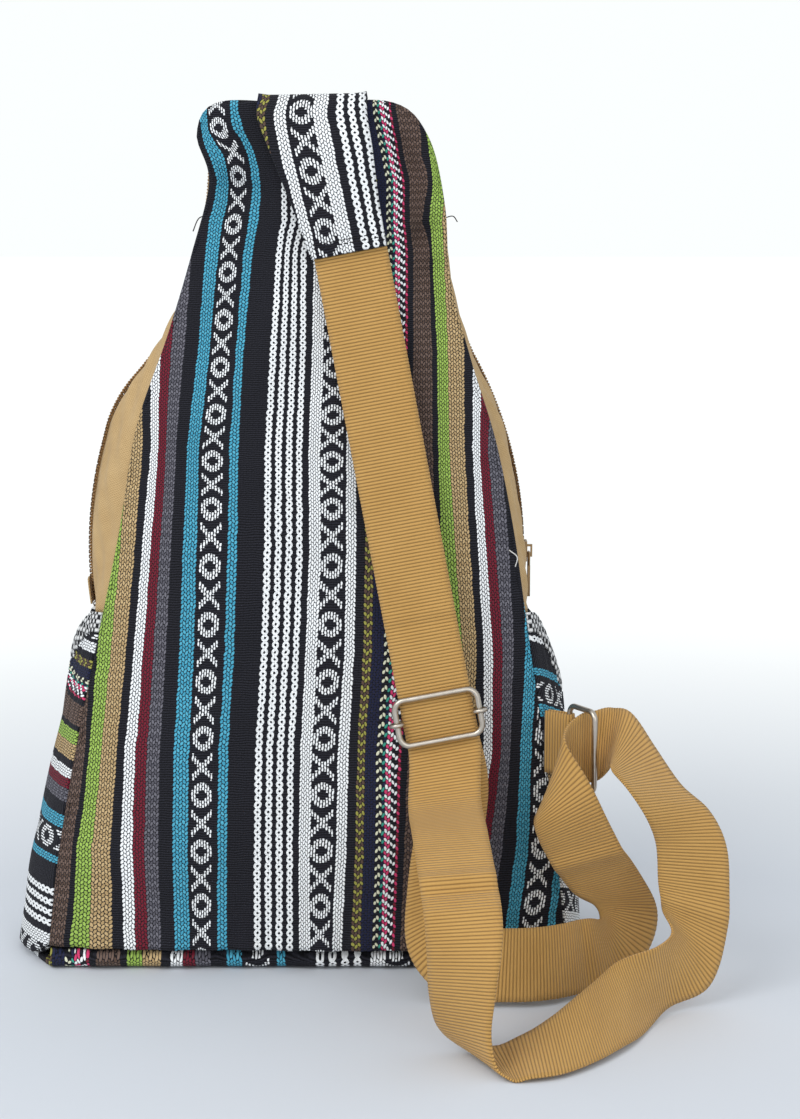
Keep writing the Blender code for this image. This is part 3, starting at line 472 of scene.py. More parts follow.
@dataclass(frozen=True)
class RibbedWebbing:
    """Tan ribbed strap webbing, whose ribs run across it."""

    name: str = "ribbed_webbing"
    light: Colour = srgb(216, 170, 98)
    middle: Colour = srgb(198, 152, 82)
    groove_shade: Colour = srgb(104, 68, 26)
    rib_pitch: float = 1.75
    yarn_pitch: float = 0.62

    def make(self) -> Material:
        """Return the webbing's material, which reads the strap's cloth UV map."""
        net = Network(self.name)
        vector, across, along = net.cloth_axes()
        rib = net.size(net.wave(along, self.rib_pitch))
        slanted = net.plus(net.times(across, math.pi / self.yarn_pitch), net.times(along, 0.9))
        yarns = net.size(net.math("SINE", slanted))
        soft = net.noise(vector, 45.0, 3.0)
        colour = net.mix(soft, self.middle, self.light)
        # Painted shade: darker in the grooves between the ribs and between the slanted yarns.
        lines = net.minus(1.0, net.power(rib, 0.45))
        colour = net.mix(net.times(lines, 0.85), colour, self.groove_shade)
        colour = net.mix(net.times(net.minus(1.0, yarns), 0.16), colour, self.groove_shade)
        height = net.plus(net.power(rib, 0.6), net.times(yarns, 0.25))
        net.bump(height, 0.9, 0.0006)
        return net.finish(colour, 0.62, sheen=0.15)


@dataclass(frozen=True)
class ElasticHem:
    """Black and white woven elastic, gathered along the pocket's mouth."""

    name: str = "elastic_hem"
    white: Colour = srgb(226, 226, 224)
    black: Colour = srgb(24, 24, 28)
    row_width: float = 2.2
    stitch: float = 1.7

    def make(self) -> Material:
        """Return the elastic's material."""
        net = Network(self.name)
        _, across, along = net.cloth_axes()
        row = net.wrap(net.math("FLOOR", net.over(across, self.row_width)), 2.0)
        turned = net.plus(net.times(along, math.pi / self.stitch), net.times(row, math.pi))
        mask = net.math("GREATER_THAN", net.math("SINE", turned), -0.1)
        rib = net.size(net.wave(across, self.row_width))
        colour = net.mix(mask, self.black, self.white)
        # Painted shade: darker towards black in the grooves between the rows.
        colour = net.mix(net.times(net.minus(1.0, rib), 0.6), colour, self.black)
        net.bump(net.plus(rib, net.times(mask, 0.4)), 0.7, 0.0006)
        return net.finish(colour, 0.85, sheen=0.1)


@dataclass(frozen=True)
class WireMetal:
    """Plated wire with fine scratches and a slightly dulled surface."""

    name: str
    colour: Colour
    worn: Colour
    roughness: float = 0.24

    def make(self) -> Material:
        """Return the metal."""
        net = Network(self.name)
        place = net.object_place()
        haze = net.noise(place, 160.0, 4.0)
        scratch = net.noise(place, 2400.0, 2.0)
        rough = net.plus(net.times(haze, 0.16), self.roughness)
        net.bump(scratch, 0.12, 0.0001)
        return net.finish(net.mix(haze, self.worn, self.colour), rough, metallic=1.0)


@dataclass(frozen=True)
class NylonCoil:
    """The zip's nylon coil wire."""

    name: str = "nylon_coil"
    colour: Colour = srgb(182, 138, 80)
    dark: Colour = srgb(124, 88, 46)

    def make(self) -> Material:
        """Return the nylon."""
        net = Network(self.name)
        patch = net.noise(net.object_place(), 300.0, 3.0)
        net.bump(patch, 0.2, 0.0002)
        return net.finish(net.mix(patch, self.dark, self.colour), 0.42)


@dataclass(frozen=True)
class Thread:
    """Cotton sewing thread."""

    name: str
    colour: Colour

    def make(self) -> Material:
        """Return the thread's material."""
        net = Network(self.name)
        twist = net.noise(net.object_place(), 2600.0, 2.0)
        net.bump(twist, 0.6, 0.0002)
        darker = tuple(part * 0.6 for part in self.colour)
        return net.finish(net.mix(twist, darker, self.colour), 0.8, sheen=0.1)


def spline(points: Line, steps: int) -> Line:
    """Return a fine curve through points.

    Args:
        points: The points that it passes.
        steps: How many steps each span takes.

    Returns:
        The curve's points.
    """
    knots = [2 * points[0] - points[1], *points, 2 * points[-1] - points[-2]]
    curve = []
    for before, start, end, after in zip(knots, knots[1:], knots[2:], knots[3:]):
        for step in range(steps):
            t = step / steps
            curve.append(0.5 * ((2 * start) + (end - before) * t
                                + (2 * before - 5 * start + 4 * end - after) * t ** 2
                                + (3 * start - before - 3 * end + after) * t ** 3))
    curve.append(points[-1])
    return curve


def travelled(points: Line) -> np.ndarray:
    """Return the distance travelled along a line at each of its points."""
    steps = [(end - start).length for start, end in zip(points, points[1:])]
    return np.concatenate([[0.0], np.cumsum(steps)])


def resample(points: Line, count: int) -> Line:
    """Return points spread evenly along a line.

    Args:
        points: The line.
        count: How many points come back.

    Returns:
        The even points.
    """
    places = np.array([tuple(point) for point in points])
    way = travelled(points)
    wanted = np.linspace(0.0, way[-1], count)
    even = [np.interp(wanted, way, places[:, k]) for k in range(3)]
    return [Vector(row) for row in np.stack(even, axis=1)]


def nothing_selected() -> None:
    """Leave object mode ready for a new primitive, with nothing selected."""
    if bpy.context.object and bpy.context.object.mode != "OBJECT":
        bpy.ops.object.mode_set(mode="OBJECT")
    bpy.ops.object.select_all(action="DESELECT")


def grid_sheet(name: str, places: np.ndarray, cloth: np.ndarray, thickness: float,
               material: Material, face: Point, offset: float = -1.0) -> Piece:
    """Make a cloth sheet from a grid primitive whose points go to their places.

    Args:
        name: The piece's name.
        places: Rows of columns of points.
        cloth: Each point's place on the flat cloth, in metres.
        thickness: The cloth's thickness.
        material: Its material.
        face: The way its outer side looks.
        offset: -1 to thicken inward from the outer side, 1 outward.

    Returns:
        The sheet, as one closed mesh.
    """
    rows, columns = places.shape[:2]
    nothing_selected()
    bpy.ops.mesh.primitive_grid_add(x_subdivisions=columns - 1, y_subdivisions=rows - 1, size=1.0)
    piece = bpy.context.object
    piece.name = name
    mesh = piece.data
    mesh.vertices.foreach_set("co", places.reshape(-1))
    layer = mesh.uv_layers[0]
    layer.name = "cloth"
    loops = np.empty(len(mesh.loops), dtype=np.int32)
    mesh.loops.foreach_get("vertex_index", loops)
    layer.data.foreach_set("uv", cloth.reshape(-1, 2)[loops].reshape(-1))
    mesh.update()
    looking = sum((polygon.normal * polygon.area for polygon in mesh.polygons), Vector())
    if looking.dot(Vector(face)) < 0:
        mesh.flip_normals()
    mesh.materials.append(material)
    for polygon in mesh.polygons:
        polygon.use_smooth = True
    piece.matrix_world = Matrix.Identity(4)
    wall = piece.modifiers.new("wall", "SOLIDIFY")
    wall.thickness = thickness
    wall.offset = offset
    bpy.ops.object.modifier_apply(modifier="wall")
    return piece


def curve_piece(name: str, curve: bpy.types.Curve, material: Material) -> Piece:
    """Turn a curve into a mesh piece.

    Args:
        name: The piece's name.
        curve: The curve.
        material: The piece's material.

    Returns:
        The piece, selected and active.
    """
    nothing_selected()
    piece = bpy.data.objects.new(name, curve)
    bpy.context.scene.collection.objects.link(piece)
    bpy.context.view_layer.objects.active = piece
    piece.select_set(True)
    bpy.ops.object.convert(target="MESH")
    piece = bpy.context.object
    piece.name = name
    piece.data.materials.clear()
    piece.data.materials.append(material)
    return piece


def wire_piece(name: str, points: Line, radius: float, closed: bool, material: Material,
               sides: int) -> Piece:
    """Bend a round wire along points and make it a mesh.

    Args:
        name: The piece's name.
        points: The wire's middle line.
        radius: The wire's radius.
        closed: True for a wire joined to itself.
        material: Its material.
        sides: The fineness of its round section.

    Returns:
        The wire.
    """
    curve = bpy.data.curves.new(name, "CURVE")
    curve.dimensions = "3D"
    curve.bevel_depth = radius
    curve.bevel_resolution = sides
    curve.use_fill_caps = not closed
    line = curve.splines.new("POLY")
    line.points.add(len(points) - 1)
    for place, point in zip(line.points, points):
        place.co = (*point, 1.0)
    line.use_cyclic_u = closed
    piece = curve_piece(name, curve, material)
    bpy.ops.object.mode_set(mode="EDIT")
    bpy.ops.mesh.select_all(action="SELECT")
    bpy.ops.mesh.remove_doubles(threshold=0.000005)
    bpy.ops.mesh.normals_make_consistent(inside=False)
    bpy.ops.object.mode_set(mode="OBJECT")
    for polygon in piece.data.polygons:
        polygon.use_smooth = True
    return piece


@dataclass
class BagShape:
    """The bag's own lines, in the frame of its back seam, and their place in the scene."""

    origin_depth: float = 0.050
    height: float = 0.464
    seam_foot: float = 0.012
    foot_depth: float = 0.108
    top_depth: float = 0.076
    centre_x: float = 0.0035
    top_dip: float = 0.0040
    inside: float = 0.0021
    back_left: tuple = ((0.000, 0.1395), (0.106, 0.1335), (0.239, 0.1225), (0.372, 0.1095), (0.504, 0.0965),
                        (0.625, 0.0865), (0.730, 0.0695), (0.825, 0.0560), (0.907, 0.0465), (0.960, 0.0525),
                        (0.993, 0.0415))
    back_right: tuple = ((0.000, 0.1395), (0.106, 0.1345), (0.250, 0.1265), (0.383, 0.1175), (0.504, 0.1095),
                         (0.611, 0.0995), (0.703, 0.0865), (0.796, 0.0755), (0.881, 0.0725), (0.956, 0.0640),
                         (0.993, 0.0455))
    front_low: tuple = ((0.000, 0.1360), (0.106, 0.1320), (0.239, 0.1220), (0.372, 0.1110), (0.504, 0.0990))
    front_left: tuple = (*front_low, (0.625, 0.0850), (0.720, 0.0700), (0.817, 0.0590), (0.900, 0.0530),
                         (0.956, 0.0500), (0.990, 0.0400))
    front_right: tuple = (*front_low, (0.625, 0.0880), (0.720, 0.0755), (0.817, 0.0670), (0.900, 0.0620),
                          (0.956, 0.0560), (0.990, 0.0420))
    bulge_left: tuple = ((0.000, 0.1560), (0.090, 0.1470), (0.215, 0.1315), (0.320, 0.1200))
    bulge_right: tuple = ((0.000, 0.1445), (0.090, 0.1405), (0.215, 0.1330), (0.320, 0.1235))
    zip_y: float = 0.042
    zip_radius: float = 0.217
    zip_offset: float = 0.1010
    zip_centre_z: float = 0.224
    zip_foot: float = 0.195
    zip_arc_tops: tuple = (0.284, 0.330)
    crown_left: tuple = (
        (0.636, 0.1044), (0.657, 0.0997), (0.674, 0.0944), (0.692, 0.0872), (0.714, 0.0789),
        (0.738, 0.0700), (0.761, 0.0635), (0.817, 0.0560), (0.883, 0.0500), (0.942, 0.0465),
        (0.975, 0.0360),
    )
    crown_right: tuple = (
        (0.761, 0.0785), (0.817, 0.0745), (0.868, 0.0715), (0.895, 0.0640), (0.942, 0.0565),
        (0.975, 0.0400),
    )
    zip_top: float = 0.980

    def depth_at(self, z: float) -> float:
        """Return the front seam's depth at a height."""
        share = min(max(z / self.height, 0.0), 1.0)
        return self.foot_depth + (self.top_depth - self.foot_depth) * share

    def half(self, table: tuple, side: int, depth: Callable[[float], float]) -> Line:
        """Return one side's outline from the foot upward.

        Args:
            table: Shares of the height and distances from the middle.
            side: -1 for the left and 1 for the right.
            depth: The seam's depth at a height.

        Returns:
            The outline's points.
        """
        span = self.height - self.seam_foot
        points = []
        for share, reach in table:
            z = self.seam_foot + share * span
            points.append(Vector((self.centre_x + side * reach, depth(z), z)))
        return points

    def arch(self, left: tuple, right: tuple, depth: Callable[[float], float]) -> Line:
        """Return a whole seam from the left foot over the top to the right foot."""
        top = Vector((self.centre_x, depth(self.height), self.height - self.top_dip))
        points = [*self.half(left, -1, depth), top, *reversed(self.half(right, 1, depth))]
        return spline(points, 12)

    def back(self, depth: float = 0.0) -> Line:
        """Return the back seam at a depth inside the bag."""
        return self.arch(self.back_left, self.back_right, lambda z: depth)

    def front(self, inside: float = 0.0) -> Line:
        """Return the front seam, moved inside the bag by a distance."""
        return self.arch(self.front_left, self.front_right, lambda z: self.depth_at(z) - inside)

    def zip_arc(self, side: int) -> Line:
        """Return one side's arc of the zip from its foot upward."""
        low = math.asin((self.zip_foot - self.zip_centre_z) / self.zip_radius)
        top = self.zip_arc_tops[0 if side < 0 else 1]
        high = math.asin((top - self.zip_centre_z) / self.zip_radius)
        centre = self.centre_x - side * self.zip_offset
        return [Vector((centre + side * self.zip_radius * math.cos(angle), self.zip_y,
                        self.zip_centre_z + self.zip_radius * math.sin(angle)))
                for angle in np.linspace(low, high, 60)]

    def crown(self, table: tuple, side: int) -> Line:
        """Return one side's points of the zip above its arc, from the arc upward."""
        points = []
        for share, reach in table:
            points.append(Vector((self.centre_x + side * reach, self.zip_y, share * self.height)))
        return points

    def zip_line(self) -> Line:
        """Return the zip's whole line from its left foot over the top to its right foot."""
        left, right = self.zip_arc(-1), self.zip_arc(1)
        first, last = self.crown(self.crown_left, -1), self.crown(self.crown_right, 1)
        top = Vector((self.centre_x, self.zip_y, self.zip_top * self.height))
        crown = spline([left[-1], *first, top, *reversed(last), right[-1]], 12)
        return left + crown[1:-1] + list(reversed(right))

    def above(self, points: Line, z: float) -> Line:
        """Return the part of an arch above a height, cut at that height."""
        inside = [index for index, point in enumerate(points) if point.z >= z]
        first, last = inside[0], inside[-1]
        kept = list(points[first:last + 1])
        if first > 0:
            kept.insert(0, self.cut(points[first - 1], points[first], z))
        if last < len(points) - 1:
            kept.append(self.cut(points[last], points[last + 1], z))
        return kept

    def cut(self, start: Vector, end: Vector, z: float) -> Vector:
        """Return the point at a height between two points."""
        return start.lerp(end, (z - start.z) / (end.z - start.z))

    def at_height(self, points: Line, z: float) -> Vector:
        """Return the point at a height on a rising or falling line."""
        for start, end in zip(points, points[1:]):
            if min(start.z, end.z) <= z <= max(start.z, end.z) and start.z != end.z:
                return self.cut(start, end, z)
        return points[0] if abs(points[0].z - z) < abs(points[-1].z - z) else points[-1]

    def side_half(self, arch: Line, side: int) -> Line:
        """Return the left or the right half of an arch from the foot upward."""
        middle = len(arch) // 2
        return arch[:middle + 1] if side < 0 else list(reversed(arch[middle:]))

    def side_lines(self, side: int) -> tuple[Line, Line, Line]:
        """Return the back seam, the line of greatest width and the front seam of a side."""
        table = self.bulge_left if side < 0 else self.bulge_right
        points = self.half(table, side, lambda z: self.zip_y)
        points[0].z = 0.0
        points.append(self.zip_arc(side)[0])
        back = self.side_half(self.back(self.inside), side)
        front = self.side_half(self.front(self.inside), side)
        return back, spline(points, 10), front

    def side_place(self, lines: tuple, share: float, z: float) -> Vector:
        """Return the side's point at a share of the way round and at a height."""
        start, middle, end = (self.at_height(line, z) for line in lines)
        reach = (middle.y - start.y) / (end.y - start.y)
        point = start.lerp(end, share)
        base = start.x + (end.x - start.x) * reach
        way = share / reach if share < reach else (1.0 - share) / (1.0 - reach)
        point.x += (middle.x - base) * math.sin(math.pi / 2 * way)
        point.z = z
        return point

    def stood_off(self, lines: tuple, side: int, share: float, z: float, distance: float) -> Vector:
        """Return the side's point pushed outward by a distance."""
        near, far = max(share - 0.05, 0.0), min(share + 0.05, 1.0)
        ahead = self.side_place(lines, far, z) - self.side_place(lines, near, z)
        normal = Vector((ahead.y, -ahead.x, 0.0)).normalized() * side
        return self.side_place(lines, share, z) + normal * distance

    def placed(self, places: np.ndarray) -> np.ndarray:
        """Return points moved from the back seam's frame to the scene's."""
        moved = places.copy()
        moved[..., 1] -= self.origin_depth
        return moved

    def world(self, points: Line) -> Line:
        """Return a line moved from the back seam's frame to the scene's."""
        return [Vector((point.x, point.y - self.origin_depth, point.z)) for point in points]


@dataclass(frozen=True)
class Crease:
    """One fold of a panel: a valley along a line in the panel's plane."""

    start: tuple[float, float]
    end: tuple[float, float]
    width: float
    depth: float

    def sink(self, x: np.ndarray, z: np.ndarray) -> np.ndarray:
        """Return how far the cloth sinks at each point.

        Args:
            x: The points' places across the panel.
            z: Their heights.

        Returns:
            The depth at each point.
        """
        (x0, z0), (x1, z1) = self.start, self.end
        along = np.array((x1 - x0, z1 - z0))
        length = np.linalg.norm(along)
        along = along / length
        way = np.clip(((x - x0) * along[0] + (z - z0) * along[1]) / length, 0.0, 1.0)
        off = np.hypot(x - x0 - way * length * along[0], z - z0 - way * length * along[1])
        fade = np.sin(np.pi * (0.12 + 0.76 * way))
        return self.depth * fade * np.exp(-(off / self.width) ** 2)


@dataclass(frozen=True)
class StripeFlow:
    """How the panel's stripes run: they gather towards the narrow top and spread at the foot.

    Each row holds a height and pairs, in millimetres: a place across the panel and the stripe that lies
    there.
    """

    even: float = 0.2525
    rows: tuple = (
        (17.9, ((-138.8, -126.8), (-125.6, -113.4), (-114.2, -106.1), (-95.6, -93.0), (-82.9, -82.0),
            (-68.1, -67.4), (-59.7, -60.1), (-46.7, -45.4), (-39.7, -40.2), (-23.0, -24.0), (-5.4, -6.8),
            (4.6, 5.2), (16.5, 18.3), (22.9, 25.1), (38.6, 38.7), (55.1, 54.5), (67.5, 67.9),
            (71.3, 75.2))),
        (68.3, ((-131.0, -126.8), (-120.8, -113.4), (-112.5, -106.1), (-96.2, -93.0), (-83.6, -82.0),
            (-68.3, -67.4), (-59.7, -60.1), (-45.2, -45.4), (-39.0, -40.2), (-22.4, -24.0), (-5.0, -6.8),
            (4.7, 5.2), (18.9, 18.3), (25.6, 25.1), (40.1, 38.7), (57.2, 54.5), (88.0, 86.0),
            (116.0, 113.9))),
        (123.5, ((-122.1, -126.8), (-112.5, -113.4), (-105.4, -106.1), (-92.9, -93.0), (-81.2, -82.0),
            (-66.8, -67.4), (-58.0, -60.1), (-43.9, -45.4), (-37.5, -40.2), (-21.0, -24.0), (-4.0, -6.8),
            (6.4, 5.2), (20.2, 18.3), (27.1, 25.1), (40.7, 38.7), (98.7, 88.3), (107.7, 99.3),
            (118.1, 113.9), (124.5, 121.2))),
        (177.9, ((-107.0, -113.4), (-99.4, -106.1), (-87.0, -93.0), (-76.7, -82.0), (-62.7, -67.4),
            (-54.5, -60.1), (-40.0, -45.4), (-33.4, -40.2), (-17.3, -24.0), (-0.6, -6.8), (9.4, 5.2),
            (23.9, 18.3), (30.2, 25.1), (45.0, 38.7), (87.3, 75.2), (98.4, 88.3), (108.1, 99.3),
            (120.5, 113.9))),
        (231.4, ((-93.5, -106.1), (-81.7, -93.0), (-72.5, -82.0), (-60.2, -67.4), (-52.4, -60.1),
            (-37.7, -45.4), (-31.4, -40.2), (-15.2, -24.0), (1.6, -6.8), (11.8, 5.2), (24.9, 18.3),
            (31.5, 25.1), (83.1, 75.2), (94.9, 88.3), (104.0, 99.3))),
        (284.1, ((-76.0, -93.0), (-68.4, -82.0), (-57.3, -67.4), (-50.8, -60.1), (-36.2, -45.4),
            (-30.2, -40.2), (-14.4, -24.0), (1.7, -6.8), (11.6, 5.2), (25.4, 18.3), (31.4, 25.1),
            (73.8, 67.9), (79.7, 75.2), (92.0, 88.3), (99.5, 99.3))),
        (336.0, ((-65.2, -82.0), (-50.8, -67.4), (-44.6, -60.1), (-32.4, -45.4), (-27.0, -40.2),
            (-11.3, -24.0), (3.9, -6.8), (13.7, 5.2), (61.7, 54.5), (73.1, 67.9), (78.8, 75.2))),
        (387.1, ((-46.4, -67.4), (-39.5, -60.1), (-28.2, -45.4), (-21.8, -40.2), (-8.0, -24.0),
            (4.3, -6.8), (61.7, 54.5), (69.4, 65.3), (70.4, 67.9), (76.5, 75.2))),
        (402.0, ((-44.5, -67.4), (-37.1, -60.1), (-25.6, -45.4), (-19.0, -40.2), (-5.3, -24.0),
            (59.6, 54.5), (65.3, 65.3), (68.9, 67.9), (75.8, 75.2))),
        (412.0, ((-41.8, -67.4), (-34.6, -60.1), (-24.2, -45.4), (-17.8, -40.2), (-5.2, -24.0),
            (59.6, 54.5), (66.8, 65.3), (69.9, 67.9), (76.5, 75.2))),
        (422.0, ((-40.1, -67.4), (-34.3, -60.1), (-23.6, -45.4), (-17.8, -40.2), (-5.3, -24.0),
            (59.6, 54.5), (68.8, 65.3), (70.8, 67.9), (75.4, 75.2))),
        (435.0, ((-44.1, -67.4), (-36.0, -60.1), (-24.8, -45.4), (-20.2, -40.2), (-5.0, -24.0),
            (56.5, 54.5), (65.2, 65.3), (69.2, 67.9), (72.8, 75.2))),
        (447.5, ((-47.6, -67.4), (-44.0, -60.1), (-32.8, -45.4), (-26.2, -40.2), (-10.9, -24.0),
            (54.5, 54.5), (64.7, 65.3), (67.2, 67.9))),
        (457.5, ((-46.9, -64.5), (-45.1, -60.1), (-34.2, -45.4), (-28.6, -40.2), (-11.9, -24.0),
            (52.5, 54.5), (62.6, 65.3), (66.2, 67.9))),
    )

    def length(self, z: np.ndarray) -> np.ndarray:
        """Return the place along the cloth at each height: the weave is closer towards the top."""
        return self.even + np.where(z < self.even, 0.975, 1.24) * (z - self.even)

    def stripe(self, x: np.ndarray, z: np.ndarray) -> np.ndarray:
        """Return the stripe's place on the cloth at each point.

        Args:
            x: The points' places across the panel, in metres.
            z: Their heights, in metres.

        Returns:
            The places across the cloth, in metres.
        """
        levels = []
        for height, pairs in self.rows:
            places = np.array([place for place, stripe in pairs])
            marks = np.array([stripe for place, stripe in pairs])
            wide = x * 1000
            inner = np.interp(wide, places, marks)
            outer = np.minimum(wide - places[0], 0.0) + np.maximum(wide - places[-1], 0.0)
            levels.append(inner + outer)
        levels = np.array(levels)
        heights = np.array([height for height, pairs in self.rows])
        tall = np.clip(z * 1000, heights[0], heights[-1])
        upper = np.clip(np.searchsorted(heights, tall, side="right"), 1, len(heights) - 1)
        share = (tall - heights[upper - 1]) / (heights[upper] - heights[upper - 1])
        below = np.take_along_axis(levels, (upper - 1)[None], axis=0)[0]
        above = np.take_along_axis(levels, upper[None], axis=0)[0]
        return (below + (above - below) * share) / 1000


@dataclass
class Panels:
    """The back and front panels, with their folds, and the bottom."""

    shape: BagShape
    weave: Material
    cloth: float = 0.0018
    rows: int = 190
    columns: int = 130
    back_bulge: float = 0.012
    front_bulge: float = 0.020
    back_swell: tuple = (0.35, 0.22, 0.90, 1.1)
    front_swell: tuple = (0.30, 0.15, 0.85, 1.0)
    foot_back: tuple[float, float] = (-0.1360, 0.1430)
    foot_front: tuple[float, float] = (-0.1325, 0.1395)
    back_folds: tuple = (
        Crease((-0.050, 0.428), (-0.014, 0.414), 0.0055, 0.0075),
        Crease((-0.046, 0.412), (-0.022, 0.402), 0.0040, 0.0030),
        Crease((-0.030, 0.452), (-0.016, 0.420), 0.0060, 0.0035),
        Crease((-0.020, 0.410), (-0.030, 0.330), 0.0100, 0.0030),
        Crease((0.080, 0.402), (0.060, 0.392), 0.0050, 0.0070),
        Crease((0.080, 0.386), (0.064, 0.372), 0.0040, 0.0030),
        Crease((0.046, 0.446), (0.062, 0.424), 0.0060, 0.0040),
        Crease((0.058, 0.440), (0.066, 0.352), 0.0070, 0.0040),
        Crease((0.062, 0.440), (0.080, 0.300), 0.007, 0.0030),
        Crease((-0.030, 0.420), (-0.052, 0.250), 0.016, 0.0022),
        Crease((-0.118, 0.170), (-0.060, 0.120), 0.020, 0.0018),
        Crease((0.118, 0.230), (0.092, 0.150), 0.012, 0.0030),
        Crease((-0.100, 0.255), (-0.085, 0.200), 0.010, 0.0028),
        Crease((-0.125, 0.060), (-0.070, 0.030), 0.014, 0.0022),
        Crease((0.020, 0.040), (0.090, 0.022), 0.014, 0.0018),
    )
    front_folds: tuple = (
        Crease((-0.050, 0.430), (-0.020, 0.400), 0.008, 0.0050),
        Crease((0.060, 0.420), (0.030, 0.380), 0.009, 0.0045),
        Crease((-0.100, 0.240), (-0.050, 0.180), 0.018, 0.0030),
        Crease((0.110, 0.200), (0.050, 0.150), 0.020, 0.0030),
        Crease((-0.110, 0.070), (-0.030, 0.040), 0.016, 0.0025),
        Crease((0.100, 0.060), (0.040, 0.030), 0.014, 0.0020),
    )

    def grid(self, arch: Line) -> np.ndarray:
        """Return the flat grid between a seam's two sides.

        Args:
            arch: The whole seam.

        Returns:
            Rows from the foot up, each from left to right.
        """
        left, right = self.shape.side_half(arch, -1), self.shape.side_half(arch, 1)
        last = int(len(left) * 0.975)
        left, right = resample(left[:last], self.rows), resample(right[:last], self.rows)
        share = np.linspace(0.0, 1.0, self.columns)[None, :, None]
        start = np.array([tuple(point) for point in left])[:, None, :]
        end = np.array([tuple(point) for point in right])[:, None, :]
        return start + (end - start) * share

    def dome(self) -> np.ndarray:
        """Return 0 at the seams and 1 in the middle of each row."""
        share = np.linspace(0.0, 1.0, self.columns)[None, :]
        return 1.0 - (2.0 * share - 1.0) ** 4

    def ripple(self, x: np.ndarray, z: np.ndarray) -> np.ndarray:
        """Return the soft waves of hand-woven cloth that is stuffed unevenly."""
        broad = np.sin(x * 46 + z * 17) * np.sin(z * 31 - x * 9 + 1.3)
        small = np.sin(x * 120 - z * 35 + 0.6) * np.sin(z * 74 + x * 22)
        return 0.0011 * broad + 0.0004 * small

    def pucker(self) -> np.ndarray:
        """Return the small gathers along the side seams and the foot."""
        share = np.linspace(0.0, 1.0, self.columns)[None, :]
        edge = np.exp(-(np.minimum(share, 1.0 - share) / 0.035) ** 2)
        rise = np.linspace(0.0, 1.0, self.rows)[:, None]
        gathers = np.sin(rise * 150) + 0.6 * np.sin(rise * 67 + 1.0)
        foot = np.exp(-(rise / 0.03) ** 2) * np.sin(share * 85)
        return 0.0007 * edge * gathers + 0.0008 * foot

    def surface(self, seam: Line, way: int, bulge: float, swell: tuple, folds: tuple) -> np.ndarray:
        """Return a panel's outer surface, swollen, folded and puckered.

        Args:
            seam: The panel's seam.
            way: -1 for the back, which swells backward, and 1 for the front.
            bulge: How far it swells.
            swell: The least swell, and the start, the run and the power of its rise from the foot.
            folds: Its folds.

        Returns:
            The grid of points.
        """
        places = self.grid(seam)
        x, z = places[..., 0].copy(), places[..., 2].copy()
        least, begin, run, power = swell
        rise = np.linspace(0.0, 1.0, self.rows)[:, None]
        full = least + (1.0 - least) * np.sin(np.pi * np.minimum(1.0, begin + run * rise) ** power)
        inside = self.dome()
        sink = sum(fold.sink(x, z) for fold in folds)
        places[..., 1] += way * (bulge * inside * full + self.ripple(x, z) * inside + self.pucker())
        places[..., 1] -= way * sink * np.clip(inside * 1.6, 0.0, 1.0)
        return places

    def back_surface(self) -> np.ndarray:
        """Return the back panel's outer surface."""
        return self.surface(self.shape.back(), -1, self.back_bulge, self.back_swell, self.back_folds)

    def build_back(self) -> None:
        """Build the striped back panel."""
        places = self.back_surface()
        x, z = places[..., 0], places[..., 2]
        flow = StripeFlow()
        cloth = np.stack([flow.stripe(x, z), flow.length(z)], axis=-1)
        piece = grid_sheet("back_cloth", self.shape.placed(places), cloth, self.cloth, self.weave, (0, -1, 0))
        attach(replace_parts(piece, "back_panel"), "bag")

    def build_front(self) -> None:
        """Build the striped front panel."""
        places = self.surface(self.shape.front(), 1, self.front_bulge, self.front_swell, self.front_folds)
        x, z = places[..., 0], places[..., 2]
        cloth = np.stack([-x - 0.040, z], axis=-1)
        piece = grid_sheet("front_cloth", self.shape.placed(places), cloth, self.cloth, self.weave, (0, 1, 0))
        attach(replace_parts(piece, "front_panel"), "bag")

    def build_padding(self, foam: Material) -> None:
        """Build the foam sheet behind the back panel.

        Args:
            foam: The foam's material.
        """
        places = self.back_surface()[16:-34:3, 14:-14:3]
        x, z = places[..., 0].copy(), places[..., 2].copy()
        places[..., 1] += self.cloth + 0.0006
        cloth = np.stack([x, z], axis=-1)
        piece = grid_sheet("back_foam", self.shape.placed(places), cloth, 0.004, foam, (0, -1, 0))
        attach(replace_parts(piece, "back_padding"), "bag")

    def build_bottom(self) -> None:
        """Build the bottom, cut with its stripes across the bag."""
        shape = self.shape
        lip = shape.seam_foot - 0.0012
        rows, columns = 70, 110
        back, front = self.foot_back, self.foot_front
        widest = (shape.centre_x - shape.bulge_left[0][1], shape.centre_x + shape.bulge_right[0][1])
        profile = (
            (0.0000, lip, back, back, 0.0), (-0.0035, 0.0085, back, back, 0.0),
            (-0.0052, 0.0042, back, back, 0.0), (-0.0010, 0.0006, back, back, 0.0),
            (0.0100, 0.0, back, widest, 0.40), (0.0250, 0.0, back, widest, 0.85),
            (shape.zip_y, 0.0, widest, widest, 0.0), (0.0600, 0.0, widest, front, 0.12),
            (0.0850, 0.0, widest, front, 0.55), (shape.foot_depth - 0.004, 0.0006, front, front, 0.0),
            (shape.foot_depth + 0.003, 0.0045, front, front, 0.0), (shape.foot_depth, lip, front, front, 0.0),
        )
        left, right = [], []
        for y, z, start, end, share in profile:
            left.append(Vector((start[0] + (end[0] - start[0]) * share, y, z)))
            right.append(Vector((start[1] + (end[1] - start[1]) * share, y, z)))
        left, right = resample(spline(left, 6), rows), resample(spline(right, 6), rows)
        share = np.linspace(0.0, 1.0, columns)[None, :, None]
        start = np.array([tuple(p) for p in left])[:, None, :]
        end = np.array([tuple(p) for p in right])[:, None, :]
        places = start + (end - start) * share
        places[..., 2] = np.maximum(places[..., 2], 0.0)
        height = places[..., 2]
        lipped = np.clip(height / 0.004, 0.0, 1.0) * np.clip((lip - height) / 0.003, 0.0, 1.0)
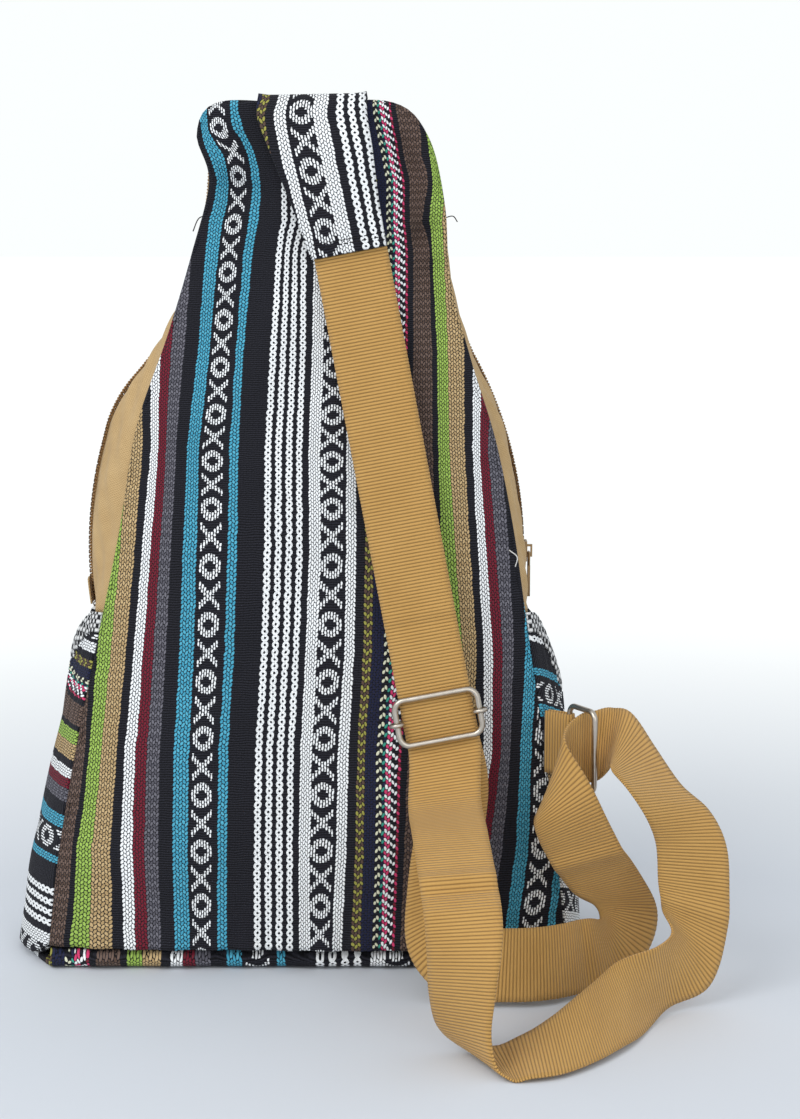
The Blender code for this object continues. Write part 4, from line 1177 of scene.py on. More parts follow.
        wave = 0.0010 * np.sin(places[..., 0] * 160) + 0.0007 * np.sin(places[..., 0] * 61)
        places[..., 1] += np.where(places[..., 1] < 0.05, -1.0, 1.0) * lipped * wave
        cloth = np.stack([places[..., 0] * 0.85 - 0.033, places[..., 1] - places[..., 2]], axis=-1)
        piece = grid_sheet("bottom_cloth", shape.placed(places), cloth, 0.0022, self.weave, (0, 0, -1))
        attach(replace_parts(piece, "bottom_panel"), "bag")


@dataclass
class SideWall:
    """One side: its gusset, its slip pocket of turned cloth and the pocket's elastic hem."""

    shape: BagShape
    side: int
    weave: Material
    elastic: Material
    open_foot: float = 0.0050
    clearance: float = 0.0005
    pocket_foot: float = 0.0040
    pocket_top: float = 0.196
    hem_height: float = 0.010
    hem_thick: float = 0.0026
    hem_length: float = 0.125
    cloth: float = 0.0018
    gusset_top: float = 0.193
    stripe_starts: tuple[float, float] = (0.199, -0.026)
    stripe_ways: tuple[float, float] = (-1.0, 1.0)
    stripe_leans: tuple[float, float] = (0.0, 0.40)

    @property
    def word(self) -> str:
        """The side's name."""
        return "left" if self.side < 0 else "right"

    def mouth(self, share: float) -> float:
        """Return the height of the pocket's mouth at a share of the way round."""
        drop = 0.026 if self.side < 0 else 0.044
        return self.pocket_top - drop * math.sin(math.pi * share) ** 2

    def stand_off(self, share: float, z: float) -> float:
        """Return how far the pocket stands off the gusset."""
        open_top = 0.0085 if self.side < 0 else 0.0120
        height = (z - self.pocket_foot) / (self.pocket_top - self.pocket_foot)
        opening = self.open_foot + (open_top - self.open_foot) * height
        return self.clearance + opening * math.sin(math.pi * share) ** 0.7

    def foot(self, share: float, lowest: float) -> float:
        """Return the side's foot, raised over the bottom's turned-up lips at the seams."""
        near = min(share, 1.0 - share)
        lift = max(0.0, 1.0 - near / 0.12)
        return lowest + (self.shape.seam_foot + 0.0003 - lowest) * lift

    def rows(self, low: Callable[[float], float], high: Callable[[float], float], count: int, columns: int,
             distance: Callable[[float, float], float]) -> tuple[np.ndarray, np.ndarray]:
        """Return a grid on the side with each point's place on the cloth.

        Args:
            low: The lower edge at a share of the way round.
            high: The upper edge there.
            count: How many rows.
            columns: How many columns.
            distance: How far the cloth stands off at a share and a height.

        Returns:
            The points and their places on the cloth, with the stripes level.
        """
        lines = self.shape.side_lines(self.side)
        places = np.empty((count, columns, 3))
        for row, step in enumerate(np.linspace(0.0, 1.0, count)):
            for column, share in enumerate(np.linspace(0.0, 1.0, columns)):
                z = low(share) + (high(share) - low(share)) * step
                point = self.shape.stood_off(lines, self.side, share, z, distance(share, z))
                places[row, column] = point
        place = 0 if self.side < 0 else 1
        start, way, lean = self.stripe_starts[place], self.stripe_ways[place], self.stripe_leans[place]
        y, z = places[..., 1], places[..., 2]
        cloth = np.stack([way * z + lean * y + start, y - lean * z], axis=-1)
        return places, cloth

    def build_gusset(self) -> None:
        """Build the gusset behind the pocket."""
        places, cloth = self.rows(lambda share: self.foot(share, 0.0025), lambda share: self.gusset_top,
                                  40, 30, lambda share, z: 0.0)
        piece = grid_sheet(f"{self.word}_gusset_cloth", self.shape.placed(places), cloth, self.cloth,
                           self.weave, (self.side, 0, 0))
        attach(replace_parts(piece, f"{self.word}_gusset"), "bag")

    def build_pocket(self) -> None:
        """Build the slip pocket with its soft folds."""
        places, cloth = self.rows(lambda share: self.foot(share, self.pocket_foot),
                                  lambda share: self.mouth(share) - self.hem_height, 80, 64, self.stand_off)
        y, z = places[..., 1], places[..., 2]
        share = np.linspace(0.0, 1.0, places.shape[1])[None, :]
        middle = np.sin(np.pi * share)
        rise = np.clip(z / 0.16, 0.0, 1.0)
        folds = 0.0016 * np.sin(y * 150 + z * 26) * rise + 0.0012 * np.sin(z * 60 + y * 40)
        gathers = 0.0008 * np.sin(share * 70) * rise ** 3
        places[..., 0] += self.side * middle * (np.abs(folds) * 0.8 + gathers)
        piece = grid_sheet(f"{self.word}_pocket_cloth", self.shape.placed(places), cloth, self.cloth,
                           self.weave, (self.side, 0, 0), offset=1.0)
        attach(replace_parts(piece, f"{self.word}_pocket"), "bag")

    def build_hem(self) -> None:
        """Build the gathered elastic hem."""
        places, _ = self.rows(lambda share: self.mouth(share) - self.hem_height - 0.0006, self.mouth,
                              10, 120, self.stand_off)
        share = np.linspace(0.0, 1.0, places.shape[1])[None, :]
        across = np.linspace(0.0, 1.0, places.shape[0])[:, None]
        gathers = 0.0007 * np.sin(share * 150) * np.sin(np.pi * share)
        rolled = 0.0010 * np.sin(np.pi * across)
        places[..., 0] += self.side * (gathers + rolled * np.sin(np.pi * share) ** 0.5)
        cloth = np.stack([np.broadcast_to(across * self.hem_height, places.shape[:2]),
                          np.broadcast_to(share * self.hem_length, places.shape[:2])], axis=-1)
        piece = grid_sheet(f"{self.word}_hem_elastic", self.shape.placed(places), cloth, self.hem_thick,
                           self.elastic, (self.side, 0, 0), offset=1.0)
        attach(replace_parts(piece, f"{self.word}_pocket_hem"), "bag")


@dataclass
class MainZip:
    """The zip over the top: canvas bands, tapes, coils, end tabs, slider and pull."""

    shape: BagShape
    canvas: Material
    tape: Material
    nylon: Material
    metal: Material
    steps: int = 240
    coil_width: float = 0.0024
    coil_heights: tuple[float, float] = (0.0030, 0.0021)
    coil_wire: float = 0.00044
    turn_steps: int = 8
    gap: float = 0.0003
    tape_width: float = 0.011
    tape_thick: float = 0.0010
    turn_pitch: float = 0.0017
    band_thick: float = 0.0018
    seam_gap: float = 0.0003
    tape_gap: float = 0.0010
    swell: float = 0.0025
    cloth_length: float = 0.80
    end_height: float = 0.014
    end_half: float = 0.0070

    def height_at(self, share: float) -> float:
        """Return the coil's height at a share of its way: low where the slider runs."""
        high, low = self.coil_heights
        return low + (high - low) * min(max((0.55 - share) / 0.10, 0.0), 1.0)

    def line(self) -> Line:
        """Return the zip's even line."""
        return resample(self.shape.above(self.shape.zip_line(), self.shape.zip_foot), self.steps)

    def outward(self, line: Line) -> Line:
        """Return the line's outward normals in its own plane."""
        normals = []
        for index in range(len(line)):
            ahead = line[min(index + 1, len(line) - 1)] - line[max(index - 1, 0)]
            normals.append(Vector((-ahead.z, 0.0, ahead.x)).normalized())
        return normals

    def flat(self, places: np.ndarray) -> np.ndarray:
        """Return each point's place on the flat cloth: its depth, and its way along the zip."""
        way = np.broadcast_to(np.linspace(0.0, self.cloth_length, self.steps)[:, None], places.shape[:2])
        return np.stack([places[..., 1], way], axis=-1)

    def build_band(self, word: str, first: Line, second: Line,
                   gaps: tuple[float, float]) -> None:
        """Build one canvas band between a seam and a tape.

        Args:
            word: The band's side.
            first: Its edge nearer the back.
            second: Its other edge.
            gaps: The gaps at the two edges.
        """
        columns = 16
        places = np.empty((self.steps, columns, 3))
        for row, (start, end) in enumerate(zip(first, second)):
            away = (start + end) / 2 - Vector((self.shape.centre_x, start.y, self.shape.height * 0.45))
            away.y = 0.0
            away.normalize()
            length = (end - start).length
            low, high = gaps[0] / length, 1.0 - gaps[1] / length
            for column, share in enumerate(np.linspace(low, high, columns)):
                broad, small = math.sin(row * 0.21 + column * 0.35), math.sin(row * 0.55 - column)
                lift = (self.swell + 0.0012 * broad + 0.0006 * small) * math.sin(math.pi * share)
                places[row, column] = start.lerp(end, share) + away * lift
        piece = grid_sheet(f"{word}_band_canvas", self.shape.placed(places), self.flat(places),
                           self.band_thick, self.canvas, (0, 0, 1))
        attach(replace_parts(piece, f"{word}_zip_band"), "bag")

    def build_tape(self, word: str, sign: int) -> None:
        """Build one woven tape.

        Args:
            word: The tape's side.
            sign: -1 for the back and 1 for the front.
        """
        line = self.line()
        near, far = self.gap / 2, self.coil_width + self.gap / 2 + self.tape_width
        shares = np.linspace(near, far, 8) * sign
        places = np.array([[tuple(point + Vector((0.0, shift, 0.0))) for shift in shares] for point in line])
        piece = grid_sheet(f"{word}_tape_woven", self.shape.placed(places), self.flat(places),
                           self.tape_thick, self.tape, (0, 0, 1))
        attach(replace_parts(piece, f"{word}_zip_tape"), "bag")

    def build_coil(self, word: str, sign: int) -> None:
        """Build one coil, wound turn by turn along its tape.

        Args:
            word: The coil's side.
            sign: -1 for the back and 1 for the front.
        """
        line = self.shape.world(self.line())
        normals = self.outward(line)
        way = travelled(line)
        turns = int(way[-1] / self.turn_pitch)
        places = np.array([tuple(p) for p in line])
        outs = np.array([tuple(n) for n in normals])
        wire = self.coil_wire
        half_width = self.coil_width / 2
        points = []
        for step in range(turns * self.turn_steps + 1):
            angle = 2 * math.pi * step / self.turn_steps
            distance = way[-1] * step / (turns * self.turn_steps)
            centre = Vector([np.interp(distance, way, places[:, k]) for k in range(3)])
            normal = Vector([np.interp(distance, way, outs[:, k]) for k in range(3)]).normalized()
            height = self.height_at(distance / way[-1])
            lift = self.gap + height / 2 + (height / 2 - wire) * math.cos(angle)
            shift = sign * (self.gap / 2 + half_width) + (half_width - wire) * math.sin(angle)
            points.append(centre + normal * lift + Vector((0.0, shift, 0.0)))
        piece = wire_piece(f"{word}_coil_turns", points, wire, False, self.nylon, sides=0)
        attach(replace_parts(piece, f"{word}_zip_coil"), "bag")

    def build_end(self, side: int) -> None:
        """Build the canvas tab over one end of the zip."""
        word = "left" if side < 0 else "right"
        top = self.shape.zip_foot + self.end_height
        arc = resample([point for point in self.shape.zip_arc(side) if point.z <= top], 14)
        centre = Vector((self.shape.centre_x - side * self.shape.zip_offset, self.shape.zip_y,
                         self.shape.zip_centre_z))
        coil = self.coil_heights[0 if side < 0 else 1]
        places = np.empty((14, 16, 3))
        for row, point in enumerate(arc):
            normal = (point - centre).normalized()
            for column, shift in enumerate(np.linspace(-self.end_half, self.end_half, 16)):
                lift = self.gap * 2 + coil + 0.0003 * math.cos(shift * 420)
                places[row, column] = point + normal * lift + Vector((0.0, shift, 0.0))
        cloth = np.stack([places[..., 1], places[..., 2]], axis=-1)
        piece = grid_sheet(f"{word}_end_tab", self.shape.placed(places), cloth, self.tape_thick,
                           self.canvas, (side, 0, 0), offset=1.0)
        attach(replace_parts(piece, f"{word}_zip_end"), "bag")

    def build(self) -> None:
        """Build the whole zip and dress its slider and pull."""
        shape = self.shape
        line = self.line()
        edge = self.coil_width + self.gap / 2 + self.tape_width
        back = resample(shape.above(shape.back(shape.inside), shape.zip_foot), self.steps)
        front = resample(shape.above(shape.front(shape.inside), shape.zip_foot), self.steps)
        back_edge = [point - Vector((0.0, edge, 0.0)) for point in line]
        front_edge = [point + Vector((0.0, edge, 0.0)) for point in line]
        self.build_band("back", back, back_edge, (self.seam_gap, self.tape_gap))
        self.build_band("front", front_edge, front, (self.tape_gap, self.seam_gap))
        for word, sign in (("back", -1), ("front", 1)):
            self.build_tape(word, sign)
            self.build_coil(word, sign)
        for side in (-1, 1):
            self.build_end(side)
        for node in ("zip_slider", "zip_pull"):
            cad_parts[node].data.materials.clear()
            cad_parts[node].data.materials.append(self.metal)
        LOG.info("zip: bands, tapes, coils and end tabs")


@dataclass
class Strap:
    """The webbing strap with its woven base, its sewn end, and the tab that holds the ring."""

    shape: BagShape
    webbing: Material
    weave: Material
    width: float = 0.038
    thick: float = 0.0012
    rib: float = 0.00175
    start: Vector = field(default_factory=lambda: Vector((0.0280, -0.0120, 0.3900)))
    buckle: Vector = field(default_factory=lambda: Vector((0.0740, -0.0300, 0.1470)))
    bend: float = 0.018
    overlap: float = 0.0040
    free: tuple = (
        ((0.058, -0.048, 0.104), (0.096, -0.048, 0.109)),
        ((0.060, -0.082, 0.098), (0.098, -0.082, 0.101)),
        ((0.063, -0.112, 0.085), (0.101, -0.112, 0.088)),
        ((0.066, -0.130, 0.070), (0.103, -0.133, 0.074)),
        ((0.067, -0.133, 0.054), (0.102, -0.146, 0.059)),
        ((0.068, -0.129, 0.034), (0.099, -0.150, 0.039)),
        ((0.072, -0.123, 0.015), (0.097, -0.151, 0.020)),
        ((0.083, -0.120, 0.004), (0.100, -0.154, 0.005)),
        ((0.099, -0.121, 0.004), (0.107, -0.158, 0.002)),
        ((0.115, -0.120, 0.009), (0.118, -0.158, 0.002)),
        ((0.129, -0.117, 0.017), (0.133, -0.152, 0.002)),
        ((0.143, -0.106, 0.025), (0.151, -0.136, 0.002)),
        ((0.156, -0.092, 0.030), (0.167, -0.115, 0.002)),
        ((0.169, -0.086, 0.035), (0.180, -0.088, 0.002)),
        ((0.185, -0.078, 0.040), (0.193, -0.068, 0.003)),
        ((0.192, -0.064, 0.044), (0.215, -0.058, 0.008)),
        ((0.188, -0.056, 0.052), (0.224, -0.053, 0.034)),
        ((0.187, -0.052, 0.066), (0.225, -0.050, 0.060)),
        ((0.186, -0.052, 0.085), (0.223, -0.046, 0.082)),
        ((0.180, -0.056, 0.100), (0.215, -0.040, 0.099)),
        ((0.170, -0.056, 0.115), (0.201, -0.032, 0.111)),
        ((0.163, -0.050, 0.122), (0.188, -0.020, 0.129)),
        ((0.163, -0.040, 0.123), (0.176, -0.010, 0.145)),
        ((0.163, -0.029, 0.118), (0.167, -0.003, 0.145)),
        ((0.157, -0.017, 0.109), (0.158, -0.009, 0.145)),
        ((0.1495, -0.0195, 0.108), (0.1495, -0.0185, 0.146)),
        ((0.139, -0.026, 0.103), (0.141, -0.027, 0.141)),
        ((0.127, -0.034, 0.099), (0.140, -0.040, 0.134)),
        ((0.124, -0.040, 0.090), (0.154, -0.048, 0.112)),
        ((0.131, -0.036, 0.073), (0.167, -0.040, 0.085)),
        ((0.145, -0.028, 0.052), (0.181, -0.024, 0.060)),
        ((0.157, -0.024, 0.043), (0.192, -0.012, 0.036)),
        ((0.160, -0.025, 0.038), (0.189, -0.012, 0.015)),
        ((0.160, -0.028, 0.036), (0.174, -0.020, 0.003)),
        ((0.152, -0.034, 0.037), (0.157, -0.038, 0.003)),
        ((0.131, -0.046, 0.039), (0.132, -0.058, 0.003)),
        ((0.110, -0.050, 0.039), (0.108, -0.061, 0.003)),
        ((0.091, -0.048, 0.039), (0.080, -0.058, 0.004)),
        ((0.090, -0.042, 0.046), (0.058, -0.048, 0.026)),
        ((0.095, -0.034, 0.066), (0.058, -0.036, 0.058)),
    )
    creases: tuple = (
        (0.1890, 0.0005, 0.0030), (0.1950, -0.0004, 0.0025), (0.3600, 0.0024, 0.0040),
        (0.3680, -0.0018, 0.0035), (0.3800, 0.0012, 0.0040), (0.4700, 0.0016, 0.0060),
        (0.6300, -0.0016, 0.0050), (0.8400, 0.0018, 0.0060), (0.9300, -0.0014, 0.0050),
    )
    wire: float = 0.0032
    bar_wire: float = 0.0024
    gap: float = 0.0003
    loop_tail: float = 0.030
    loop_front: float = 0.012
    edge_round: float = 0.30
    rib_rise: float = 0.30
    ring_pivot: Point = (0.1440, -0.0100, 0.1270)
    tab_tail: float = 0.0145
    tab_width: float = 0.0338
    tab_turn: float = -37.0
    base_top: Point = (0.0095, -0.0100, 0.4545)
    base_thick: float = 0.0030

    def frame(self) -> Matrix:
        """Return the buckle's place: X across the strap, Y up along it, Z out from the bag."""
        up = (self.start - self.buckle).normalized()
        across = Vector((up.z, 0.0, -up.x)).normalized()
        matrix = Matrix((across, up, across.cross(up))).transposed().to_4x4()
        matrix.translation = self.buckle
        return matrix

    def bar_depth(self) -> float:
        """Return how far behind the front ply the centre bar lies."""
        return self.thick * 1.5 + 2 * self.gap + self.bar_wire / 2

    def loop_radius(self) -> float:
        """Return the radius of the end loop's middle line."""
        return self.bar_wire / 2 + self.gap + self.thick / 2

    def edges(self) -> tuple[Line, Line]:
        """Return the strap's two edges from the base to its end behind the loop."""
        frame_ = self.frame()
        across, up = frame_.col[0].to_3d(), frame_.col[1].to_3d()
        length = (self.start - self.buckle).length
        half = across * self.width / 2
        left, right = [], []
        for distance in np.linspace(length - self.overlap, -self.bend, 12):
            centre = self.buckle + up * distance
            left.append(centre - half)
            right.append(centre + half)
        left += [Vector(a) for a, b in self.free]
        right += [Vector(b) for a, b in self.free]
        depth = self.bar_depth() + self.loop_radius() + self.thick + self.gap
        for drop in (-self.loop_tail - self.loop_front, -0.009):
            centre = frame_ @ Vector((0.0, drop, -depth))
            left.append(centre + half)
            right.append(centre - half)
        return left, right

    def rings(self) -> tuple[Line, Line]:
        """Return the strap's even centres and its directions across, two to a rib."""
        left, right = self.edges()
        fine_left, fine_right = spline(left, 10), spline(right, 10)
        centres = [(a + b) / 2 for a, b in zip(fine_left, fine_right)]
        ways = [(b - a).normalized() for a, b in zip(fine_left, fine_right)]
        count = int(travelled(centres)[-1] / self.rib) * 2 + 1
        way = travelled(centres)
        wanted = np.linspace(0.0, way[-1], count)
        turned = np.array([tuple(w) for w in ways])
        even = np.stack([np.interp(wanted, way, turned[:, k]) for k in range(3)], axis=1)
        return resample(centres, count), [Vector(row).normalized() for row in even]

    def ribbon(self, name: str, centres: Line, ways: Line, widths: list[float],
               thick: float, material: Material, across_at: Callable[[float, float], float],
               ribs: float = 0.0, creases: tuple = ()) -> Piece:
        """Return a flat woven strip as one closed mesh with soft edges.

        Args:
            name: The piece's name.
            centres: The strip's centres.
            ways: Its directions across.
            widths: Its width at each centre.
            thick: Its thickness.
            material: Its material.
            across_at: The cloth's place across at a share of the width and of the length.
            ribs: How far each second ring stands proud, for ribs and a scalloped selvedge.
            creases: The distance, height and width of each crease across the strip.

        Returns:
            The strip.
        """
        columns = 12
        shares = np.linspace(-1.0, 1.0, columns)
        way = travelled(centres)
        count = len(centres)
        top = np.empty((count, columns, 3))
        cloth = np.empty((count, columns, 2))
        for row, (centre, across, width) in enumerate(zip(centres, ways, widths)):
            ahead = centres[min(row + 2, count - 1)] - centres[max(row - 2, 0)]
            normal = ahead.cross(across).normalized()
            proud = ribs if row % 2 else 0.0
            half = width / 2 - ribs + proud
            proud *= self.rib_rise
            for far, height, broad in creases:
                proud += height * math.exp(-((way[row] - far) / broad) ** 2)
            for column, share in enumerate(shares):
                round_off = thick * self.edge_round * abs(share) ** 12
                place = centre + across * half * share + normal * (thick / 2 - round_off + proud)
                top[row, column] = self.shape.placed(np.array(tuple(place)))
                cloth[row, column] = (across_at(share, row / (count - 1)), way[row])
        looking = (centres[1] - centres[0]).cross(ways[0])
        return grid_sheet(name, top, cloth, thick, material, tuple(self.facing(top, looking)))

    def facing(self, places: np.ndarray, first: Vector) -> Vector:
        """Return the way the whole strip faces, turned to agree with its first ring.

        Args:
            places: The strip's points.
            first: The normal at its first ring.

        Returns:
            A direction with a positive share of the strip's summed normals.
        """
        along = places[1:, :-1] - places[:-1, :-1]
        across = places[:-1, 1:] - places[:-1, :-1]
        normals = np.cross(along, across)
        total = Vector(normals.reshape(-1, 3).sum(axis=0))
        return total if Vector(normals[0].sum(axis=0)).dot(first) > 0 else -total

    def webbing_across(self, share: float, rise: float) -> float:
        """Return the place across the webbing at a share of its half width; its length has no part in it."""
        return share * self.width / 2

    def base_across(self, share: float, rise: float) -> float:
        """Return the place across the striped cloth at a share of the base's half width and of its length."""
        spread = min(rise * 1.35, 1.0)
        drift = 0.0095 - 0.0053 * spread
        return 0.0118 - (share * (0.0196 + 0.0084 * spread) + drift)

    def build_webbing(self) -> None:
        """Build the one length of webbing, from the base through the ring to its end."""
        centres, ways = self.rings()
        piece = self.ribbon("strap_ribbon", centres, ways, [self.width] * len(centres), self.thick,
                            self.webbing, self.webbing_across, ribs=0.00018, creases=self.creases)
        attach(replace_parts(piece, "strap_webbing"), "bag")
        path = [tuple(point) for point in self.shape.world(centres)]

    def build_end_loop(self) -> None:
        """Build the webbing's end, folded round the centre bar."""
        frame_ = self.frame()
        depth, radius = self.bar_depth(), self.loop_radius()
        path = [Vector((0.0, -self.loop_front, -depth + radius))]
        for angle in np.linspace(0.0, math.pi, 16):
            path.append(Vector((0.0, radius * math.sin(angle), -depth + radius * math.cos(angle))))
        path.append(Vector((0.0, -self.loop_tail, -depth - radius)))
        line = resample([frame_ @ point for point in path], 61)
        across = frame_.col[0].to_3d()
        piece = self.ribbon("end_loop_ribbon", line, [across] * len(line), [self.width] * len(line),
                            self.thick * 0.94, self.webbing, self.webbing_across)
        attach(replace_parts(piece, "strap_end_loop"), "bar")

    def build_base(self) -> None:
        """Build the tapered woven tab that the webbing is sewn under."""
        across = self.frame().col[0].to_3d()
        foot = self.start - Vector((0.0, 0.0, self.overlap))
        top = Vector(self.base_top)
        out = Vector((0.0, -0.0035, 0.0))
        route = [foot + Vector((0.0, -0.0024, 0.0)), foot.lerp(top, 0.35) + out, foot.lerp(top, 0.75) + out,
                 top, Vector((top.x, -0.0030, 0.4636)), Vector((top.x, 0.0090, 0.4636))]
        widths = (0.0392, 0.044, 0.052, 0.056, 0.056, 0.056)
        level = Vector((1.0, 0.0, 0.02)).normalized()
        turns = [across, across.lerp(level, 0.4), across.lerp(level, 0.8), level, level, level]
        line = spline(route, 16)
        wide = [point.x for point in spline([Vector((w, 0.0, 0.0)) for w in widths], 16)]
        ways = [way.normalized() for way in spline(turns, 16)]
        piece = self.ribbon("strap_base_cloth", line, ways, wide, self.base_thick, self.weave,
                            self.base_across)
        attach(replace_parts(piece, "strap_base"), "bag")

    def build_ring_tab(self) -> None:
        """Build the webbing tab that holds the ring in the side seam."""
        pivot = Vector(self.ring_pivot)
        radius = 0.0015 + self.gap + self.thick / 2
        lean = Matrix.Rotation(math.radians(self.tab_turn), 4, "Z")
        path = [Vector((-self.tab_tail, -radius * 0.75, 0.0))]
        for angle in np.linspace(-math.pi / 2, math.pi / 2, 16):
            path.append(Vector((radius * math.cos(angle), radius * math.sin(angle), 0.0)))
        path.append(Vector((-self.tab_tail, radius * 0.75, 0.0)))
        line = resample([pivot + lean @ point for point in path], 41)
        up = Vector((0.0, 0.0, 1.0))
        piece = self.ribbon("ring_tab_ribbon", line, [up] * len(line), [self.tab_width] * len(line),
                            self.thick * 0.94, self.webbing, lambda share, rise: share * self.tab_width / 2)
        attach(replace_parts(piece, "ring_tab"), "bag")


@dataclass
class Hardware:
    """The bent wire buckle with its hooked centre bar, and the ring."""

    strap: Strap
    nickel: Material
    side_room: float = 0.0012
    buckle_height: float = 0.0240
    buckle_corner: float = 0.0055
    ring_wire: float = 0.0030
    ring_depth: float = 0.0220
    ring_corner: float = 0.0045
    ring_turn: float = -58.0

    def outline(self, half_x: float, half_y: float, corner: float) -> Line:
        """Return a rectangle's middle line with round corners.

        Args:
            half_x: Half its width.
            half_y: Half its height.
            corner: Its corners' radius.

        Returns:
            The line's points.
        """
        points = []
        for quarter, (sx, sy) in enumerate(((1, 1), (-1, 1), (-1, -1), (1, -1))):
            centre = Vector((sx * (half_x - corner), sy * (half_y - corner), 0.0))
            for step in range(11):
                angle = math.pi / 2 * (quarter + step / 10)
                points.append(centre + Vector((math.cos(angle), math.sin(angle), 0.0)) * corner)
        return points

    def build_buckle(self) -> None:
        """Build the frame and the bar whose ends curl round it."""
        strap = self.strap
        frame_ = strap.frame()
        lift = strap.thick / 2 + strap.gap + strap.wire / 2
        half_x = strap.width / 2 + self.side_room + strap.wire / 2
        line = self.outline(half_x, self.buckle_height / 2, self.buckle_corner)
        points = strap.shape.world([frame_ @ (point + Vector((0.0, 0.0, lift))) for point in line])
        piece = wire_piece("buckle_wire", points, strap.wire / 2, True, self.nickel, sides=7)
        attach(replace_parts(piece, "buckle_frame"), "buckle")
        hook = strap.wire / 2 + strap.gap + strap.bar_wire / 2
        half_bar = []
        for angle in np.radians(np.linspace(160.0, -75.0, 22)):
            half_bar.append(Vector((half_x + hook * math.cos(angle), 0.0, lift + hook * math.sin(angle))))
        half_bar.append(Vector((strap.width / 2 + 0.0002, 0.0, -strap.bar_depth())))
        mirrored = [Vector((-point.x, point.y, point.z)) for point in reversed(half_bar)]
        points = strap.shape.world([frame_ @ point for point in half_bar + mirrored])
        piece = wire_piece("buckle_bar_wire", points, strap.bar_wire / 2, False, self.nickel, sides=6)
        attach(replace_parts(piece, "buckle_bar"), "bar")

    def build_ring(self) -> None:
        """Build the ring, turned about its inner bar."""
        strap = self.strap
        half_height = strap.width / 2 + self.side_room + self.ring_wire / 2
        line = self.outline(self.ring_depth / 2, half_height, self.ring_corner)
        turn = Matrix.Rotation(math.radians(self.ring_turn), 4, "Z")
        stand = Matrix.Rotation(math.pi / 2, 4, "X")
        pivot = Vector(strap.ring_pivot)
        inner = Vector((self.ring_depth / 2, 0.0, 0.0))
        points = strap.shape.world([pivot + turn @ (stand @ (point + inner)) for point in line])
        piece = wire_piece("ring_wire", points, self.ring_wire / 2, True, self.nickel, sides=7)
        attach(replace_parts(piece, "ring"), "ring")


